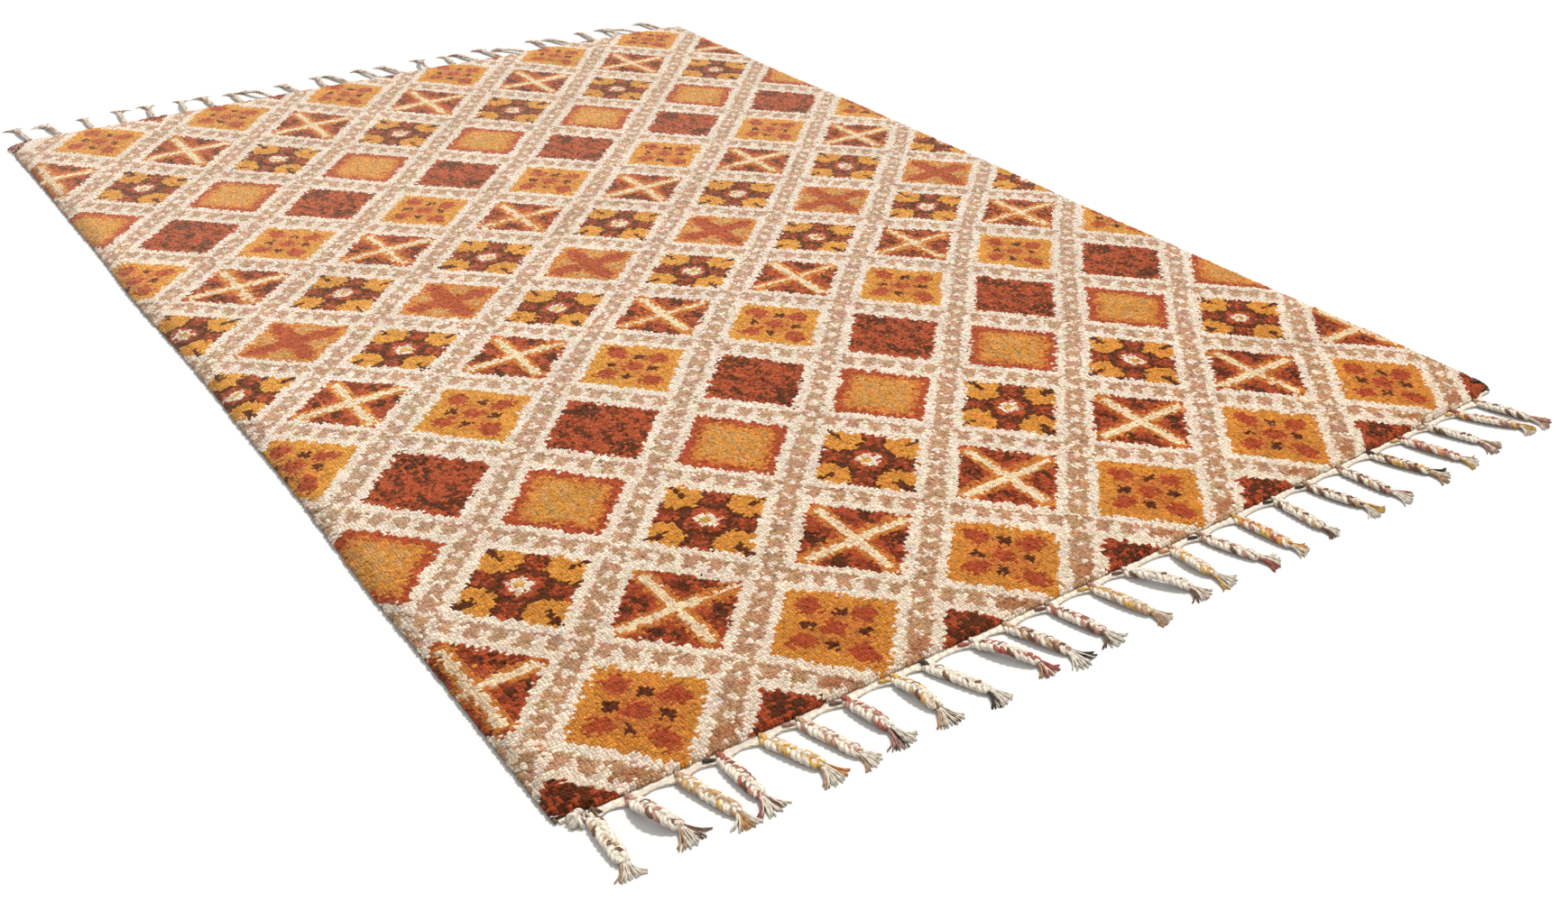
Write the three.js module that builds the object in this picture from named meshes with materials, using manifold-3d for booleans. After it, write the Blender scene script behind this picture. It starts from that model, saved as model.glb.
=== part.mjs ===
// A pile rug lying flat, with an overcast selvedge along each long side and a plaited fringe at each
// short end. Units are millimetres. X runs across the rug, Y along it, Z up from the floor it lies on.

import * as THREE from "three";
import Module from "manifold-3d";
import { mergeVertices } from "three/addons/utils/BufferGeometryUtils.js";

const wasm = await Module();
wasm.setup();

// Driving dimensions
const PILE_WIDTH = 2000;
const PILE_LENGTH = 2905;
const PILE_TOP = 16.4;
const GAP = 0.3;

// The ledge under the pile's rim, where the selvedges and the end strips lie against the ground weave
const LEDGE = 7;
const SELVEDGE_THICK = 6.4;
const SELVEDGE_SIDES = 8;
const STRIP_THICK = 3.4;
const STRIP_SHOWING = 16;
const STRIP_SIDE_GAP = 1.2;
const STRIP_STEPS = 20;

// The pile's rim above that ledge, from the lip up: inset from the outline, height, and how far tufts stray
const LIP = { inset: 2.2, rise: 0.8, stray: 1.4 };
const RIM = [
  { inset: 0, z: 10.4, stray: 2.2 },
  { inset: 3, z: 14.2, stray: 1.6 },
  { inset: 9, z: PILE_TOP, stray: 0 },
];

// The lumps of the pile's top: swells of these lengths across, along and slantwise, and a fine unevenness
const LUMPS = { height: 0.9, swellShare: 0.35, across: 610, along: 760, slant: 383 };
const BODY_CELLS = { across: 40, along: 58 };

// The outline: long sides that wave a little, ends that bow outwards, and a slight draw-in near the far end
const SIDE_WAVES = [
  { length: 1450, height: 3.5, phase: 0.6 },
  { length: 610, height: 1.8, phase: 2.0 },
];
const WAVE_ROOM = 5;
const END_BOW = 9;
const DRAWN_IN = { from: 500, to: 1450, right: 12, left: 3.6 };

// A plait, and its width and thickness as shares of the whole: at its root, where the strands cross and lie
// wide, halfway between, and at the tie where the tassel starts
const PLAIT = { width: 14, thick: 10, crossings: 6, rootSink: 5 };
const PLAIT_FORM = {
  root: { width: 0.8, thick: 0.7 },
  wide: { width: 1.08, thick: 0.92 },
  narrow: { width: 0.9, thick: 1.1 },
  tie: { width: 0.78, thick: 0.8 },
};
const PLAIT_FLAT_TOP = 0.72;

// The tassel at a plait's tip: loose locks that fan out, each from a thick root to a thin tip
const TASSEL = { length: 33, tuck: 5, stray: 10, shortest: 0.86 };
const LOCK_ANGLES = [-27, -9, 9, 27];
const LOCK_ROOT = { width: 8, height: 7 };
const LOCK_TIP = { width: 4.5, height: 3.4 };

// Each plait of the near end: its place across the rug, its lean to the right in degrees, and its whole reach
const NEAR_PLAITS = [
  { at: -963, lean: -4, reach: 106 },
  { at: -914, lean: 15, reach: 112 },
  { at: -832, lean: 11, reach: 112 },
  { at: -765, lean: 1, reach: 110 },
  { at: -698, lean: 11, reach: 110 },
  { at: -637, lean: 13, reach: 106 },
  { at: -557, lean: 7, reach: 98 },
  { at: -478, lean: 2, reach: 100 },
  { at: -412, lean: 7, reach: 114 },
  { at: -344, lean: 24, reach: 112 },
  { at: -260, lean: 8, reach: 120 },
  { at: -181, lean: 6, reach: 110 },
  { at: -80, lean: 7, reach: 112 },
  { at: -6, lean: 15, reach: 113 },
  { at: 97, lean: -4, reach: 107 },
  { at: 180, lean: 3, reach: 104 },
  { at: 256, lean: -3, reach: 113 },
  { at: 339, lean: -4, reach: 100 },
  { at: 432, lean: 6, reach: 98 },
  { at: 512, lean: 10, reach: 108 },
  { at: 612, lean: 13, reach: 105 },
  { at: 706, lean: 8, reach: 114 },
  { at: 789, lean: 6, reach: 103 },
  { at: 887, lean: 14, reach: 106 },
  { at: 949, lean: 10, reach: 104 },
];

// The far end's plaits are evenly set, with a place, a lean and a reach that wander
const FAR_PLAITS = { count: 25, margin: 38, wander: 13, lean: 13, reach: 108, reachWander: 9 };

const wool = new THREE.MeshStandardMaterial({ color: 0xd9a06a, roughness: 0.95, metalness: 0 });
const overcast = new THREE.MeshStandardMaterial({ color: 0x9a927c, roughness: 0.95, metalness: 0 });
const fringeYarn = new THREE.MeshStandardMaterial({ color: 0xe6dcc8, roughness: 0.95, metalness: 0 });

// A repeatable number from 0 to 1 for a whole-numbered place
function scatter(i, j) {
  const s = Math.sin(i * 12.9898 + j * 78.233) * 43758.5453;
  return s - Math.floor(s);
}

// The same, from -0.5 to 0.5
function stray(i, j) {
  return scatter(i, j) - 0.5;
}

function wave(distance, length, phase = 0) {
  return Math.sin((2 * Math.PI * distance) / length + phase);
}

// How far the side at +X (side 1) or -X (side -1) lies from the rug's middle line
function halfWidth(side, y) {
  const drawnIn = side > 0 ? DRAWN_IN.right : DRAWN_IN.left;
  let reach = PILE_WIDTH / 2 - WAVE_ROOM;
  reach -= drawnIn * THREE.MathUtils.smoothstep(y, DRAWN_IN.from, DRAWN_IN.to);
  for (const { length, height, phase } of SIDE_WAVES) {
    reach += height * wave(y, length, phase * side);
  }
  return reach;
}

// How far either end lies from the rug's middle, at a place across it
function halfLength(x) {
  const across = x / (PILE_WIDTH / 2);
  return PILE_LENGTH / 2 - END_BOW * across * across;
}

// A place on the rug from its shares across and along, both 0 to 1, drawn in from the outline by an inset
function place(across, along, inset) {
  const x0 = (across - 0.5) * PILE_WIDTH;
  const y0 = (along - 0.5) * PILE_LENGTH;
  const x = THREE.MathUtils.lerp(-halfWidth(-1, y0) + inset, halfWidth(1, y0) - inset, across);
  const endY = halfLength(x0) - inset;
  return [x, THREE.MathUtils.lerp(-endY, endY, along)];
}

// How far the pile's top stands above or below its mean height
function lump(x, y, i, j) {
  const quarter = Math.PI / 2;
  const swell = wave(x, LUMPS.across, quarter) * wave(y, LUMPS.along, quarter) + wave(x + y, LUMPS.slant);
  return LUMPS.height * (LUMPS.swellShare * swell + stray(i, j));
}

function solidMesh(name, geometry, material) {
  const mesh = new THREE.Mesh(geometry, material);
  mesh.name = name;
  return mesh;
}

function closedGeometry(points, faces) {
  const geometry = new THREE.BufferGeometry();
  geometry.setAttribute("position", new THREE.Float32BufferAttribute(points.flat(), 3));
  geometry.setIndex(faces.flat());
  geometry.computeVertexNormals();
  return geometry;
}

// The rim's section, from the floor up. The lip clears what lies in the ledge below it, a selvedge along the
// sides and a thinner strip at the ends.
function rimSection(overSelvedge) {
  const ledgeTop = (overSelvedge ? SELVEDGE_THICK : STRIP_THICK) + GAP;
  return [
    { inset: LEDGE, z: 0, stray: 0 },
    { inset: LEDGE, z: ledgeTop, stray: 0 },
    { inset: LIP.inset, z: ledgeTop + LIP.rise, stray: LIP.stray },
    ...RIM,
  ];
}

// The places round the rim, anticlockwise seen from above, as grid columns and rows
function rimPlaces() {
  const { across, along } = BODY_CELLS;
  const places = [];
  for (let i = 0; i < across; i++) places.push([i, 0]);
  for (let j = 0; j < along; j++) places.push([across, j]);
  for (let i = across; i > 0; i--) places.push([i, along]);
  for (let j = along; j > 0; j--) places.push([0, j]);
  return places;
}

function rugBody() {
  const { across, along } = BODY_CELLS;
  const points = [];
  const faces = [];
  const rim = rimPlaces();
  const ringCount = rimSection(true).length;
  const topInset = RIM[RIM.length - 1].inset;

  // The rim, ring by ring from the floor to the pile's top
  for (let ring = 0; ring < ringCount; ring++) {
    const isTop = ring === ringCount - 1;
    rim.forEach(([i, j]) => {
      const overSelvedge = i <= 1 || i >= across - 1;
      const level = rimSection(overSelvedge)[ring];
      const strayed = level.stray * scatter(i + ringCount * ring, j);
      const [x, y] = place(i / across, j / along, level.inset + strayed);
      points.push([x, y, level.z + (isTop ? lump(x, y, i, j) : 0)]);
    });
  }
  for (let ring = 0; ring < ringCount - 1; ring++) {
    for (let k = 0; k < rim.length; k++) {
      const next = (k + 1) % rim.length;
      const [a, b] = [ring * rim.length + k, ring * rim.length + next];
      faces.push([a, b, b + rim.length], [a, b + rim.length, a + rim.length]);
    }
  }

  // The pile's top, whose edge is the last ring
  const lastRing = (ringCount - 1) * rim.length;
  const topIndex = new Map(rim.map(([i, j], k) => [`${i},${j}`, lastRing + k]));
  for (let i = 1; i < across; i++) {
    for (let j = 1; j < along; j++) {
      const [x, y] = place(i / across, j / along, topInset);
      topIndex.set(`${i},${j}`, points.length);
      points.push([x, y, PILE_TOP + lump(x, y, i, j)]);
    }
  }
  const top = (i, j) => topIndex.get(`${i},${j}`);
  for (let i = 0; i < across; i++) {
    for (let j = 0; j < along; j++) {
      faces.push([top(i, j), top(i + 1, j), top(i + 1, j + 1)]);
      faces.push([top(i, j), top(i + 1, j + 1), top(i, j + 1)]);
    }
  }

  // The flat underside: a fan at each end and plain rows between
  const underIndex = new Map(rim.map(([i, j], k) => [`${i},${j}`, k]));
  const under = (i, j) => underIndex.get(`${i},${j}`);
  for (let i = 0; i < across; i++) {
    faces.push([under(0, 1), under(i + 1, 0), under(i, 0)]);
    faces.push([under(across, along - 1), under(i, along), under(i + 1, along)]);
  }
  faces.push([under(0, 1), under(across, 1), under(across, 0)]);
  faces.push([under(across, along - 1), under(0, along - 1), under(0, along)]);
  for (let j = 1; j < along - 1; j++) {
    faces.push([under(0, j), under(across, j + 1), under(across, j)]);
    faces.push([under(0, j), under(0, j + 1), under(across, j + 1)]);
  }
  return solidMesh("rug_body", closedGeometry(points, faces), wool);
}

// A closed solid from rings of points, each ring with as many points, capped at both ends
function ringSolid(rings) {
  const sides = rings[0].length;
  const faces = [];
  for (let r = 0; r < rings.length - 1; r++) {
    for (let s = 0; s < sides; s++) {
      const next = (s + 1) % sides;
      const [a, b] = [r * sides + s, r * sides + next];
      faces.push([a, b, b + sides], [a, b + sides, a + sides]);
    }
  }
  const last = (rings.length - 1) * sides;
  for (let s = 1; s < sides - 1; s++) {
    faces.push([0, s + 1, s], [last, last + s, last + s + 1]);
  }
  return closedGeometry(rings.flat(), faces);
}

// The overcast cord along a long side, an eight-sided bar lying in the ledge under the pile. It steps with
// the body's own rows and ends level with the end strips.
function selvedge(name, side) {
  const radius = (SELVEDGE_THICK / 2) / Math.cos(Math.PI / SELVEDGE_SIDES);
  const rows = BODY_CELLS.along;
  const edge = Array.from({ length: rows + 1 }, (_, row) => place(side > 0 ? 1 : 0, row / rows, LEDGE));
  const endReach = halfLength(PILE_WIDTH / 2) + STRIP_SHOWING;
  const route = [[edge[0][0], -endReach], ...edge, [edge[rows][0], endReach]];
  const rings = route.map(([edgeX, y]) => {
    const x = edgeX + side * (GAP + SELVEDGE_THICK / 2);
    const ring = Array.from({ length: SELVEDGE_SIDES }, (_, s) => {
      const angle = ((s + 0.5) * 2 * Math.PI) / SELVEDGE_SIDES;
      return [x + radius * Math.cos(angle), y, SELVEDGE_THICK / 2 + radius * Math.sin(angle)];
    });
    return ring.reverse();
  });
  return solidMesh(name, ringSolid(rings), overcast);
}

// The flat end strip, from under the pile's lip to a little past the pile, between the two selvedges
function endStrip(end) {
  const sideInset = LEDGE + STRIP_SIDE_GAP;
  const endY = (end * PILE_LENGTH) / 2;
  const rings = [];
  for (let step = 0; step <= STRIP_STEPS; step++) {
    const share = step / STRIP_STEPS;
    const x = THREE.MathUtils.lerp(-halfWidth(-1, endY) + sideInset, halfWidth(1, endY) - sideInset, share);
    const inner = end * (halfLength(x) - LEDGE + GAP);
    const outer = end * (halfLength(x) + STRIP_SHOWING);
    const ring = [
      [x, inner, 0],
      [x, outer, 0],
      [x, outer, STRIP_THICK],
      [x, inner, STRIP_THICK],
    ];
    rings.push(end > 0 ? ring : ring.reverse());
  }
  return ringSolid(rings);
}

// A strand lying on the floor, from stations along it, each with its distance, width and height. Its section
// has a flat base, and a flat top or a ridge.
function strand(origin, heading, stations, flatTop) {
  const along = [Math.sin(heading), Math.cos(heading)];
  const side = [Math.cos(heading), -Math.sin(heading)];
  const rings = stations.map(({ distance, width, height }) => {
    const at = (across, z) => [
      origin[0] + along[0] * distance + side[0] * across,
      origin[1] + along[1] * distance + side[1] * across,
      z,
    ];
    const half = width / 2;
    const top = flatTop > 0 ? [at(-half * flatTop, height), at(half * flatTop, height)] : [at(0, height)];
    return [at(-half, 0), ...top, at(half, 0)];
  });
  return ringSolid(rings);
}

// A plait's stations: its sunk root, then wide and narrow in turn, and its tie
function plaitStations(length) {
  const station = (distance, form) => ({
    distance,
    width: PLAIT.width * form.width,
    height: PLAIT.thick * form.thick,
  });
  const crossings = Array.from({ length: PLAIT.crossings }, (_, k) => (
    station((length * (k + 0.5)) / (PLAIT.crossings + 0.5), k % 2 ? PLAIT_FORM.narrow : PLAIT_FORM.wide)
  ));
  return [station(-PLAIT.rootSink, PLAIT_FORM.root), ...crossings, station(length, PLAIT_FORM.tie)];
}

function toSolid(geometry) {
  const bare = geometry.clone();
  bare.deleteAttribute("normal");
  const merged = mergeVertices(bare);
  return new wasm.Manifold(new wasm.Mesh({
    numProp: 3,
    vertProperties: new Float32Array(merged.attributes.position.array),
    triVerts: new Uint32Array(merged.index.array),
  }));
}

function toGeometry(solid) {
  const { vertProperties, triVerts } = solid.getMesh();
  const geometry = new THREE.BufferGeometry();
  geometry.setAttribute("position", new THREE.BufferAttribute(new Float32Array(vertProperties), 3));
  geometry.setIndex(new THREE.BufferAttribute(new Uint32Array(triVerts), 1));
  geometry.computeVertexNormals();
  return geometry;
}

function farPlaits() {
  const { count, margin, wander, lean, reach, reachWander } = FAR_PLAITS;
  const step = (PILE_WIDTH - 2 * margin) / (count - 1);
  return Array.from({ length: count }, (_, k) => {
    const isOuter = k === 0 || k === count - 1;
    return {
      at: margin - PILE_WIDTH / 2 + step * k + (isOuter ? 0 : wander * stray(k, 41)),
      lean: 2 * lean * stray(k, 17),
      reach: reach + 2 * reachWander * stray(k, 29),
    };
  });
}

// An end strip with its plaits and tassels, all one piece
function fringe(name, end, plaits) {
  let solid = toSolid(endStrip(end));
  plaits.forEach(({ at, lean, reach }, k) => {
    const root = [at, end * (halfLength(at) + STRIP_SHOWING)];
    const turn = THREE.MathUtils.degToRad(lean);
    const heading = end > 0 ? turn : Math.PI - turn;
    const plaitLength = reach - TASSEL.length;
    solid = solid.add(toSolid(strand(root, heading, plaitStations(plaitLength), PLAIT_FLAT_TOP)));
    const tuck = plaitLength - TASSEL.tuck;
    const tip = [root[0] + Math.sin(heading) * tuck, root[1] + Math.cos(heading) * tuck];
    LOCK_ANGLES.forEach((angle, n) => {
      const splay = THREE.MathUtils.degToRad(angle + TASSEL.stray * stray(k, n + end));
      const share = THREE.MathUtils.lerp(TASSEL.shortest, 1, scatter(n, k + end));
      const stations = [
        { distance: 0, ...LOCK_ROOT },
        { distance: TASSEL.tuck + TASSEL.length * share, ...LOCK_TIP },
      ];
      solid = solid.add(toSolid(strand(tip, heading + splay, stations, 0)));
    });
  });
  return solidMesh(name, toGeometry(solid), fringeYarn);
}

const rug = new THREE.Group();
rug.add(rugBody());
rug.add(selvedge("selvedge_left", -1));
rug.add(selvedge("selvedge_right", 1));
rug.add(fringe("fringe_near", -1, NEAR_PLAITS));
rug.add(fringe("fringe_far", 1, farPlaits()));

export default rug;
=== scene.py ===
"""A marmoucha rug: knotted wool pile, overcast sides and plaited fringes, laid flat on a pale floor."""

import math
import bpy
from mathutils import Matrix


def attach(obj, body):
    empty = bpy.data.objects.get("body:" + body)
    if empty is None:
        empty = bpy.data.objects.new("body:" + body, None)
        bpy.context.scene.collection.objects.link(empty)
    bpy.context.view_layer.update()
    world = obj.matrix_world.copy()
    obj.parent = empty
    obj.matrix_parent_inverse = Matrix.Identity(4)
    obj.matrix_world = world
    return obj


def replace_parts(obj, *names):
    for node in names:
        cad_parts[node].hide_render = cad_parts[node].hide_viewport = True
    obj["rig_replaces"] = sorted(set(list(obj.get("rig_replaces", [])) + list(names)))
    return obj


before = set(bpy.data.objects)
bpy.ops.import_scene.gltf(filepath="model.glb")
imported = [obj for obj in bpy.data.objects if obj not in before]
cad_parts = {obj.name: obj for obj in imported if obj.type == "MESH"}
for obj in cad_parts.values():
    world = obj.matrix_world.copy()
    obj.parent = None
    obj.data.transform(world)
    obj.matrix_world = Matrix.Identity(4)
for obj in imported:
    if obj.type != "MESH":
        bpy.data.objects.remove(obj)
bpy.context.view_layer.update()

from types import SimpleNamespace as Sizes

import bpy
import numpy as np
from mathutils import Matrix

bl_info = {
    "name": "Marmoucha rug",
    "version": (1, 0, 0),
    "blender": (4, 5, 0),
    "location": "View3D > Sidebar > Rug",
    "description": "Knots, binds and plaits a lattice rug of wool pile",
    "category": "Object",
}


def table(columns, rows):
    """Rows of values as named sizes."""
    return [Sizes(**dict(zip(columns.split(), row))) for row in rows]


# The cloth's flat size with its end strips, and the pile's outline as the frame has it, with long sides that
# wave a little and ends that bow outwards
PILE_WIDTH = 2.0
PILE_LENGTH = 2.905
WAVE_ROOM = 0.005
END_BOW = 0.009
SIDE_WAVES = table("length height phase", ((1.450, 0.0035, 0.6), (0.610, 0.0018, 2.0)))
DRAWN_IN = Sizes(run=(0.5, 1.45), right=0.008, left=-0.006)

# As it lies, the right side bulges all along, the left side flares towards both ends, the ends slant, the
# pile's corners are rounded off, and the far left one is tucked in
BULGE = Sizes(left=0.0042, right=0.0180)
FLARE = Sizes(run=(0.95, 1.35), reach=0.0060)
SLANTED_ENDS = -0.0062
ROUNDED = Sizes(run=(0.925, 1.0), near=0.013, far=0.010)
TUCKED = Sizes(run=(1.375, 1.445), reach=0.024)

# The ledge under the pile's rim, where the side cords and the end strips lie against the ground weave
LEDGE = 0.007
STRIP_SHOWING = 0.016
GAP = 0.0003
GROUND = Sizes(thick=0.0034, across=12, along=24, thread=0.004, contrast=0.3)

# The side cords end this far before the strips' outer edges. A cord is a chain of turns that swell in the
# middle and slant round it.
CORD_SHORT = 0.019
CORD = Sizes(radius=0.0032, sides=6, neck=0.84, swelling=1.19, slant=0.35, weld=0.0002)

# The pile: a close field of nubs of yarn ends, in strips along the rug, each strip a mesh of its own. A knot
# is a little wider than a nub, and gives its colour to the nubs that stand on it.
NUBS_ACROSS = 370
NUBS_ALONG = 540
STRIPS = 5
KNOT = 0.0083
PILE_LEVEL = 0.0156

# The grain that makes the pattern's edges uneven: how much of it comes from knots and from nubs, how far it
# moves the motifs' edges and the lattice's, and how far a diamond's patches may be turned
GRAIN = Sizes(knot=0.5, nub=0.9, nub_size=0.0041, ragged=0.02, lattice=0.022, turn=6.3)

# A nub's tip strays from the middle of its foot by this share of it, and rises by a share of the set height
NUB = Sizes(stray=0.4, lowest=0.4, spread=1.2)

# The pile's rim, from its lip up, at the sides and the ends: how far in from the outline the lines between
# the nubs lie, and how high. Its foot stands on the ledge.
SIDE_RIM = Sizes(insets=(0.0034, 0.0003, 0.0026, 0.0074), heights=(0.0068, 0.0102, 0.0138, 0.0153))
END_RIM = Sizes(insets=(-0.0012, -0.0034, -0.0012, 0.0038), heights=(0.0036, 0.0078, 0.0122, 0.0148))
PILE_FOOT = Sizes(inset=0.0073, side_height=0.0066, end_height=0.0041, inner_height=0.0040)

# The pile falls away towards its sides, more so on the left, where its colour is darkened by painted shade
EDGE_FALL = Sizes(run=(0.008, 0.038), left=0.0048, right=0.0010)
PAINTED_EDGE_SHADE = Sizes(run=(0.004, 0.038), shade=0.34)

# The swells of the pile's top: their height, and their lengths across, along and slantwise
SWELL = Sizes(height=0.00032, across=0.610, along=0.760, slant=0.383)

# The yarns of the pile
YARNS = "cream sand orange gold rust umber olive taupe blush clay straw russet".split()
CREAM, SAND, ORANGE, GOLD, RUST, UMBER, OLIVE, TAUPE, BLUSH, CLAY, STRAW, RUSSET = range(len(YARNS))

# How much lighter or darker a knot, a nub and a row may be than the next, and how far the hue may stray
# from patch to patch
TONE = Sizes(knot=0.12, nub=0.30, row=0.03, hue=0.06, sand_hue=0.14, patch=0.021)

# Painted light: the yarns are painted a little paler and yellower from the near end towards the middle of the
# rug
LIGHT_TINT_RUN = (-1.45, -0.35)
PALE_LIGHT_TINT = (0.03, 0.06, 0.10)
LIGHT_TINTS = {CREAM: PALE_LIGHT_TINT, SAND: (0.07, 0.24, 0.47), BLUSH: PALE_LIGHT_TINT, STRAW: PALE_LIGHT_TINT}
WARM_LIGHT_TINT = (0.13, 0.34, 0.50)

# Painted light: the pile is painted lighter away from the near left corner, and a pale painted sheen lies
# over its far end
PAINTED_LIGHT = Sizes(corner=(-1, -1.47), near=0.94, rise=0.13, run=(0.25, 1.3))
PAINTED_SHEEN = Sizes(share=0.125, across=0.2, run=(-1.2, 1.3), tint=np.array((0.87, 0.72, 0.60)))

# Painted light and shade on each nub: its tip is painted lighter, and its foot darker and warmer as painted
# shade between the nubs
TIP_PAINTED_LIGHT = 1.12
FOOT_PAINTED_SHADE = np.array((0.64, 0.55, 0.48))

# The corners of a nub's foot and of its square of the map. The map has blocks of nubs side by side, and spare
# columns for hidden faces.
SQUARE = ((0, 0), (1, 0), (1, 1), (0, 1))
MAP_BLOCKS = 3
MAP_SPARE_COLUMNS = 3

# The lattice of diamonds: the middle line of each row of diamonds, and the motif that the row carries
LATTICE_PITCH = 0.3317
LATTICE_SHIFT = 0.0166
ROW_MIDDLES = np.array((
    -1.5195, -1.3355, -1.1675, -0.9900, -0.8205, -0.6465, -0.4705, -0.3115, -0.1645, -0.0105,
    0.1460, 0.3055, 0.4665, 0.6290, 0.8075, 0.9805, 1.1675, 1.3585, 1.5485,
))
ROW_MOTIFS = "EABCDEABCFCBAEDCBAE"

# The lattice between the motifs, as reaches |u| + |v| from a diamond's middle: the cream line, and the sand
# band with its cream dots, so many to a diamond's side
LINE_START = 0.70
BAND_START = 0.866
DOTS_A_SIDE = 6
DOT = Sizes(half_reach=0.062, half_each=0.19)
NOTCH = Sizes(from_reach=0.925, half_each=0.21)

# At the near end a band runs out in a darker blot. The far left corner is plain.
END_BLOT = Sizes(half_reach=0.105, start=0.006, end=0.028)
PLAIN_CORNER = Sizes(x=-0.90, y=1.38)

# The rows of diamonds aren't straight: they slant one way or the other and bow towards the rug's ends. On the
# right they lie further in, over two stretches of the rug.
SLANT = Sizes(at=0.8, mean=0.004, swing=0.013, middle=0.16, half_length=1.4)
BOW = 0.0095
SIDE_SHIFT = Sizes(mean=0.003, swing=0.004, middle=-0.29, half_length=1.1)
END_TILT = Sizes(rise=0.009, run=(1.14, 1.36))
RIGHT_SHIFT = Sizes(reach=0.0095, run=(0.45, 0.75))
RIGHT_STRETCHES = table("start end", (((-1.28, -1.10), (-0.30, 0.0)), ((1.06, 1.20), (1.6, 1.7))))

# The end strips. Their section runs from under the pile to the outer edge: how far out, and how high. The
# edge lies further past the pile at the plaits' roots than between them, and is drawn in at the corners.
STRIP_SECTION = table("out height", (
    (-0.0062, 0.0032), (0.0010, 0.0033), (0.0040, 0.0056), (0.0080, 0.0055),
    (0.0115, 0.0050), (0.0140, 0.0043), (0.0154, 0.0033), (0.0160, 0.0018),
))
STRIP = Sizes(steps=240, thread=0.0022, contrast=0.22)
STRIP_EDGE = Sizes(between=0.0118, root=0.0185, reach=0.042, corner=0.0120, corner_run=(0.958, 0.985))

# The plaits of the near end. Each has its place across the rug, its lean to the right in degrees, its length,
# how far it arches off the floor and bows to the right, its tassel's lean and length, the yarns of its three
# strands, of its tassel from left to right and of its root, and the yarn gathered in beside it. The letters
# stand for the fringe's yarns.
FRINGE_LETTERS = dict(zip("ctogrbmk", "cream sand orange gold rust umber mauve dark".split()))
NEAR_PLAITS = table("at lean length arch bow tassel_lean tassel_length strands tassel root beside", (
    (-0.962, -3, 0.085, 0.003, 0.001, -11, 0.028, "cccccbcct", "cccct", "c", "b"),
    (-0.906, 21, 0.078, 0.013, 0.008, 6, 0.034, "mcccmccbc", "bccct", "m", "c"),
    (-0.832, 17, 0.097, 0.002, 0.001, -8, 0.028, "tctcctgct", "ctotc", "t", "c"),
    (-0.767, 2, 0.083, 0.003, 0.001, 5, 0.035, "mccbccrcc", "cbcccr", "r", "k"),
    (-0.700, 23, 0.089, 0.003, 0.001, 4, 0.036, "gctgcccgc", "occct", "g", "c"),
    (-0.639, 18, 0.096, 0.002, 0.001, 22, 0.028, "cmcctcccm", "cccct", "t", "m"),
    (-0.560, 11, 0.075, 0.005, 0.001, 6, 0.038, "mccrcmmcc", "ccckm", "r", "b"),
    (-0.474, 8, 0.079, 0.007, 0.001, -2, 0.036, "ctcgccbcc", "cbcct", "g", "g"),
    (-0.420, 24, 0.098, 0.002, 0.001, 8, 0.032, "ccccbcccc", "cccck", "k", "c"),
    (-0.327, 30, 0.096, 0.009, 0.003, 2, 0.029, "crcbccrcc", "rrcrt", "c", "r"),
    (-0.261, 22, 0.096, 0.004, 0.001, 9, 0.037, "tbcctcmcb", "kcccc", "t", "c"),
    (-0.174, 16, 0.088, 0.003, 0.001, 2, 0.032, "mccbcrmcc", "ccccb", "m", "b"),
    (-0.084, 18, 0.097, 0.004, 0.003, 16, 0.029, "gtcgctcct", "tcttt", "m", "g"),
    (-0.009, 33, 0.097, 0.009, 0.002, 8, 0.031, "cccccbccc", "ccmcb", "c", "b"),
    (0.097, 2, 0.077, 0.006, 0.005, 18, 0.036, "ccgtccgcc", "ccccg", "t", "o"),
    (0.165, 19, 0.094, 0.002, 0.003, 36, 0.033, "mccccmbcc", "cccrr", "m", "k"),
    (0.253, 8, 0.096, 0.003, 0.001, 24, 0.028, "ogcrcogmc", "ogcgc", "g", "c"),
    (0.352, 0, 0.093, 0.002, 0.001, 28, 0.026, "tccccbtcc", "ccccb", "c", "k"),
    (0.436, 19, 0.093, 0.002, 0.004, 13, 0.033, "bcctcbbcc", "gggcc", "t", "k"),
    (0.527, 8, 0.093, 0.002, 0.001, 27, 0.034, "cbctcmccb", "rcccc", "m", "c"),
    (0.615, 23, 0.095, 0.002, 0.001, 29, 0.036, "bgctbcgcb", "kcttt", "k", "c"),
    (0.706, 19, 0.099, 0.003, 0.002, 25, 0.030, "mrcomccrc", "mcccg", "r", "g"),
    (0.787, 23, 0.084, 0.002, 0.001, 18, 0.038, "ccbccccbc", "ctmcm", "c", "t"),
    (0.874, 34, 0.106, 0.002, 0.004, 12, 0.028, "mcrccgccm", "ggcgc", "r", "g"),
    (0.945, 20, 0.088, 0.002, 0.001, 26, 0.037, "bcccccbcc", "ttmmc", "t", "c"),
))
NEAR_FORM = Sizes(size=1, spread=1, shade=1)

# The far end's plaits are evenly set and wander a little, and are finer, with paler yarns and tassels as
# painted light
FAR_YARNS = str.maketrans("bkrg", "tcmc")
FAR = Sizes(
    count=25, margin=0.050, wander=0.011, lean=-16, lean_wander=48, tassel_wander=20, length=0.088,
    length_wander=0.016,
)
FAR_FORM = Sizes(size=0.58, spread=0.9, shade=1.3)

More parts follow.
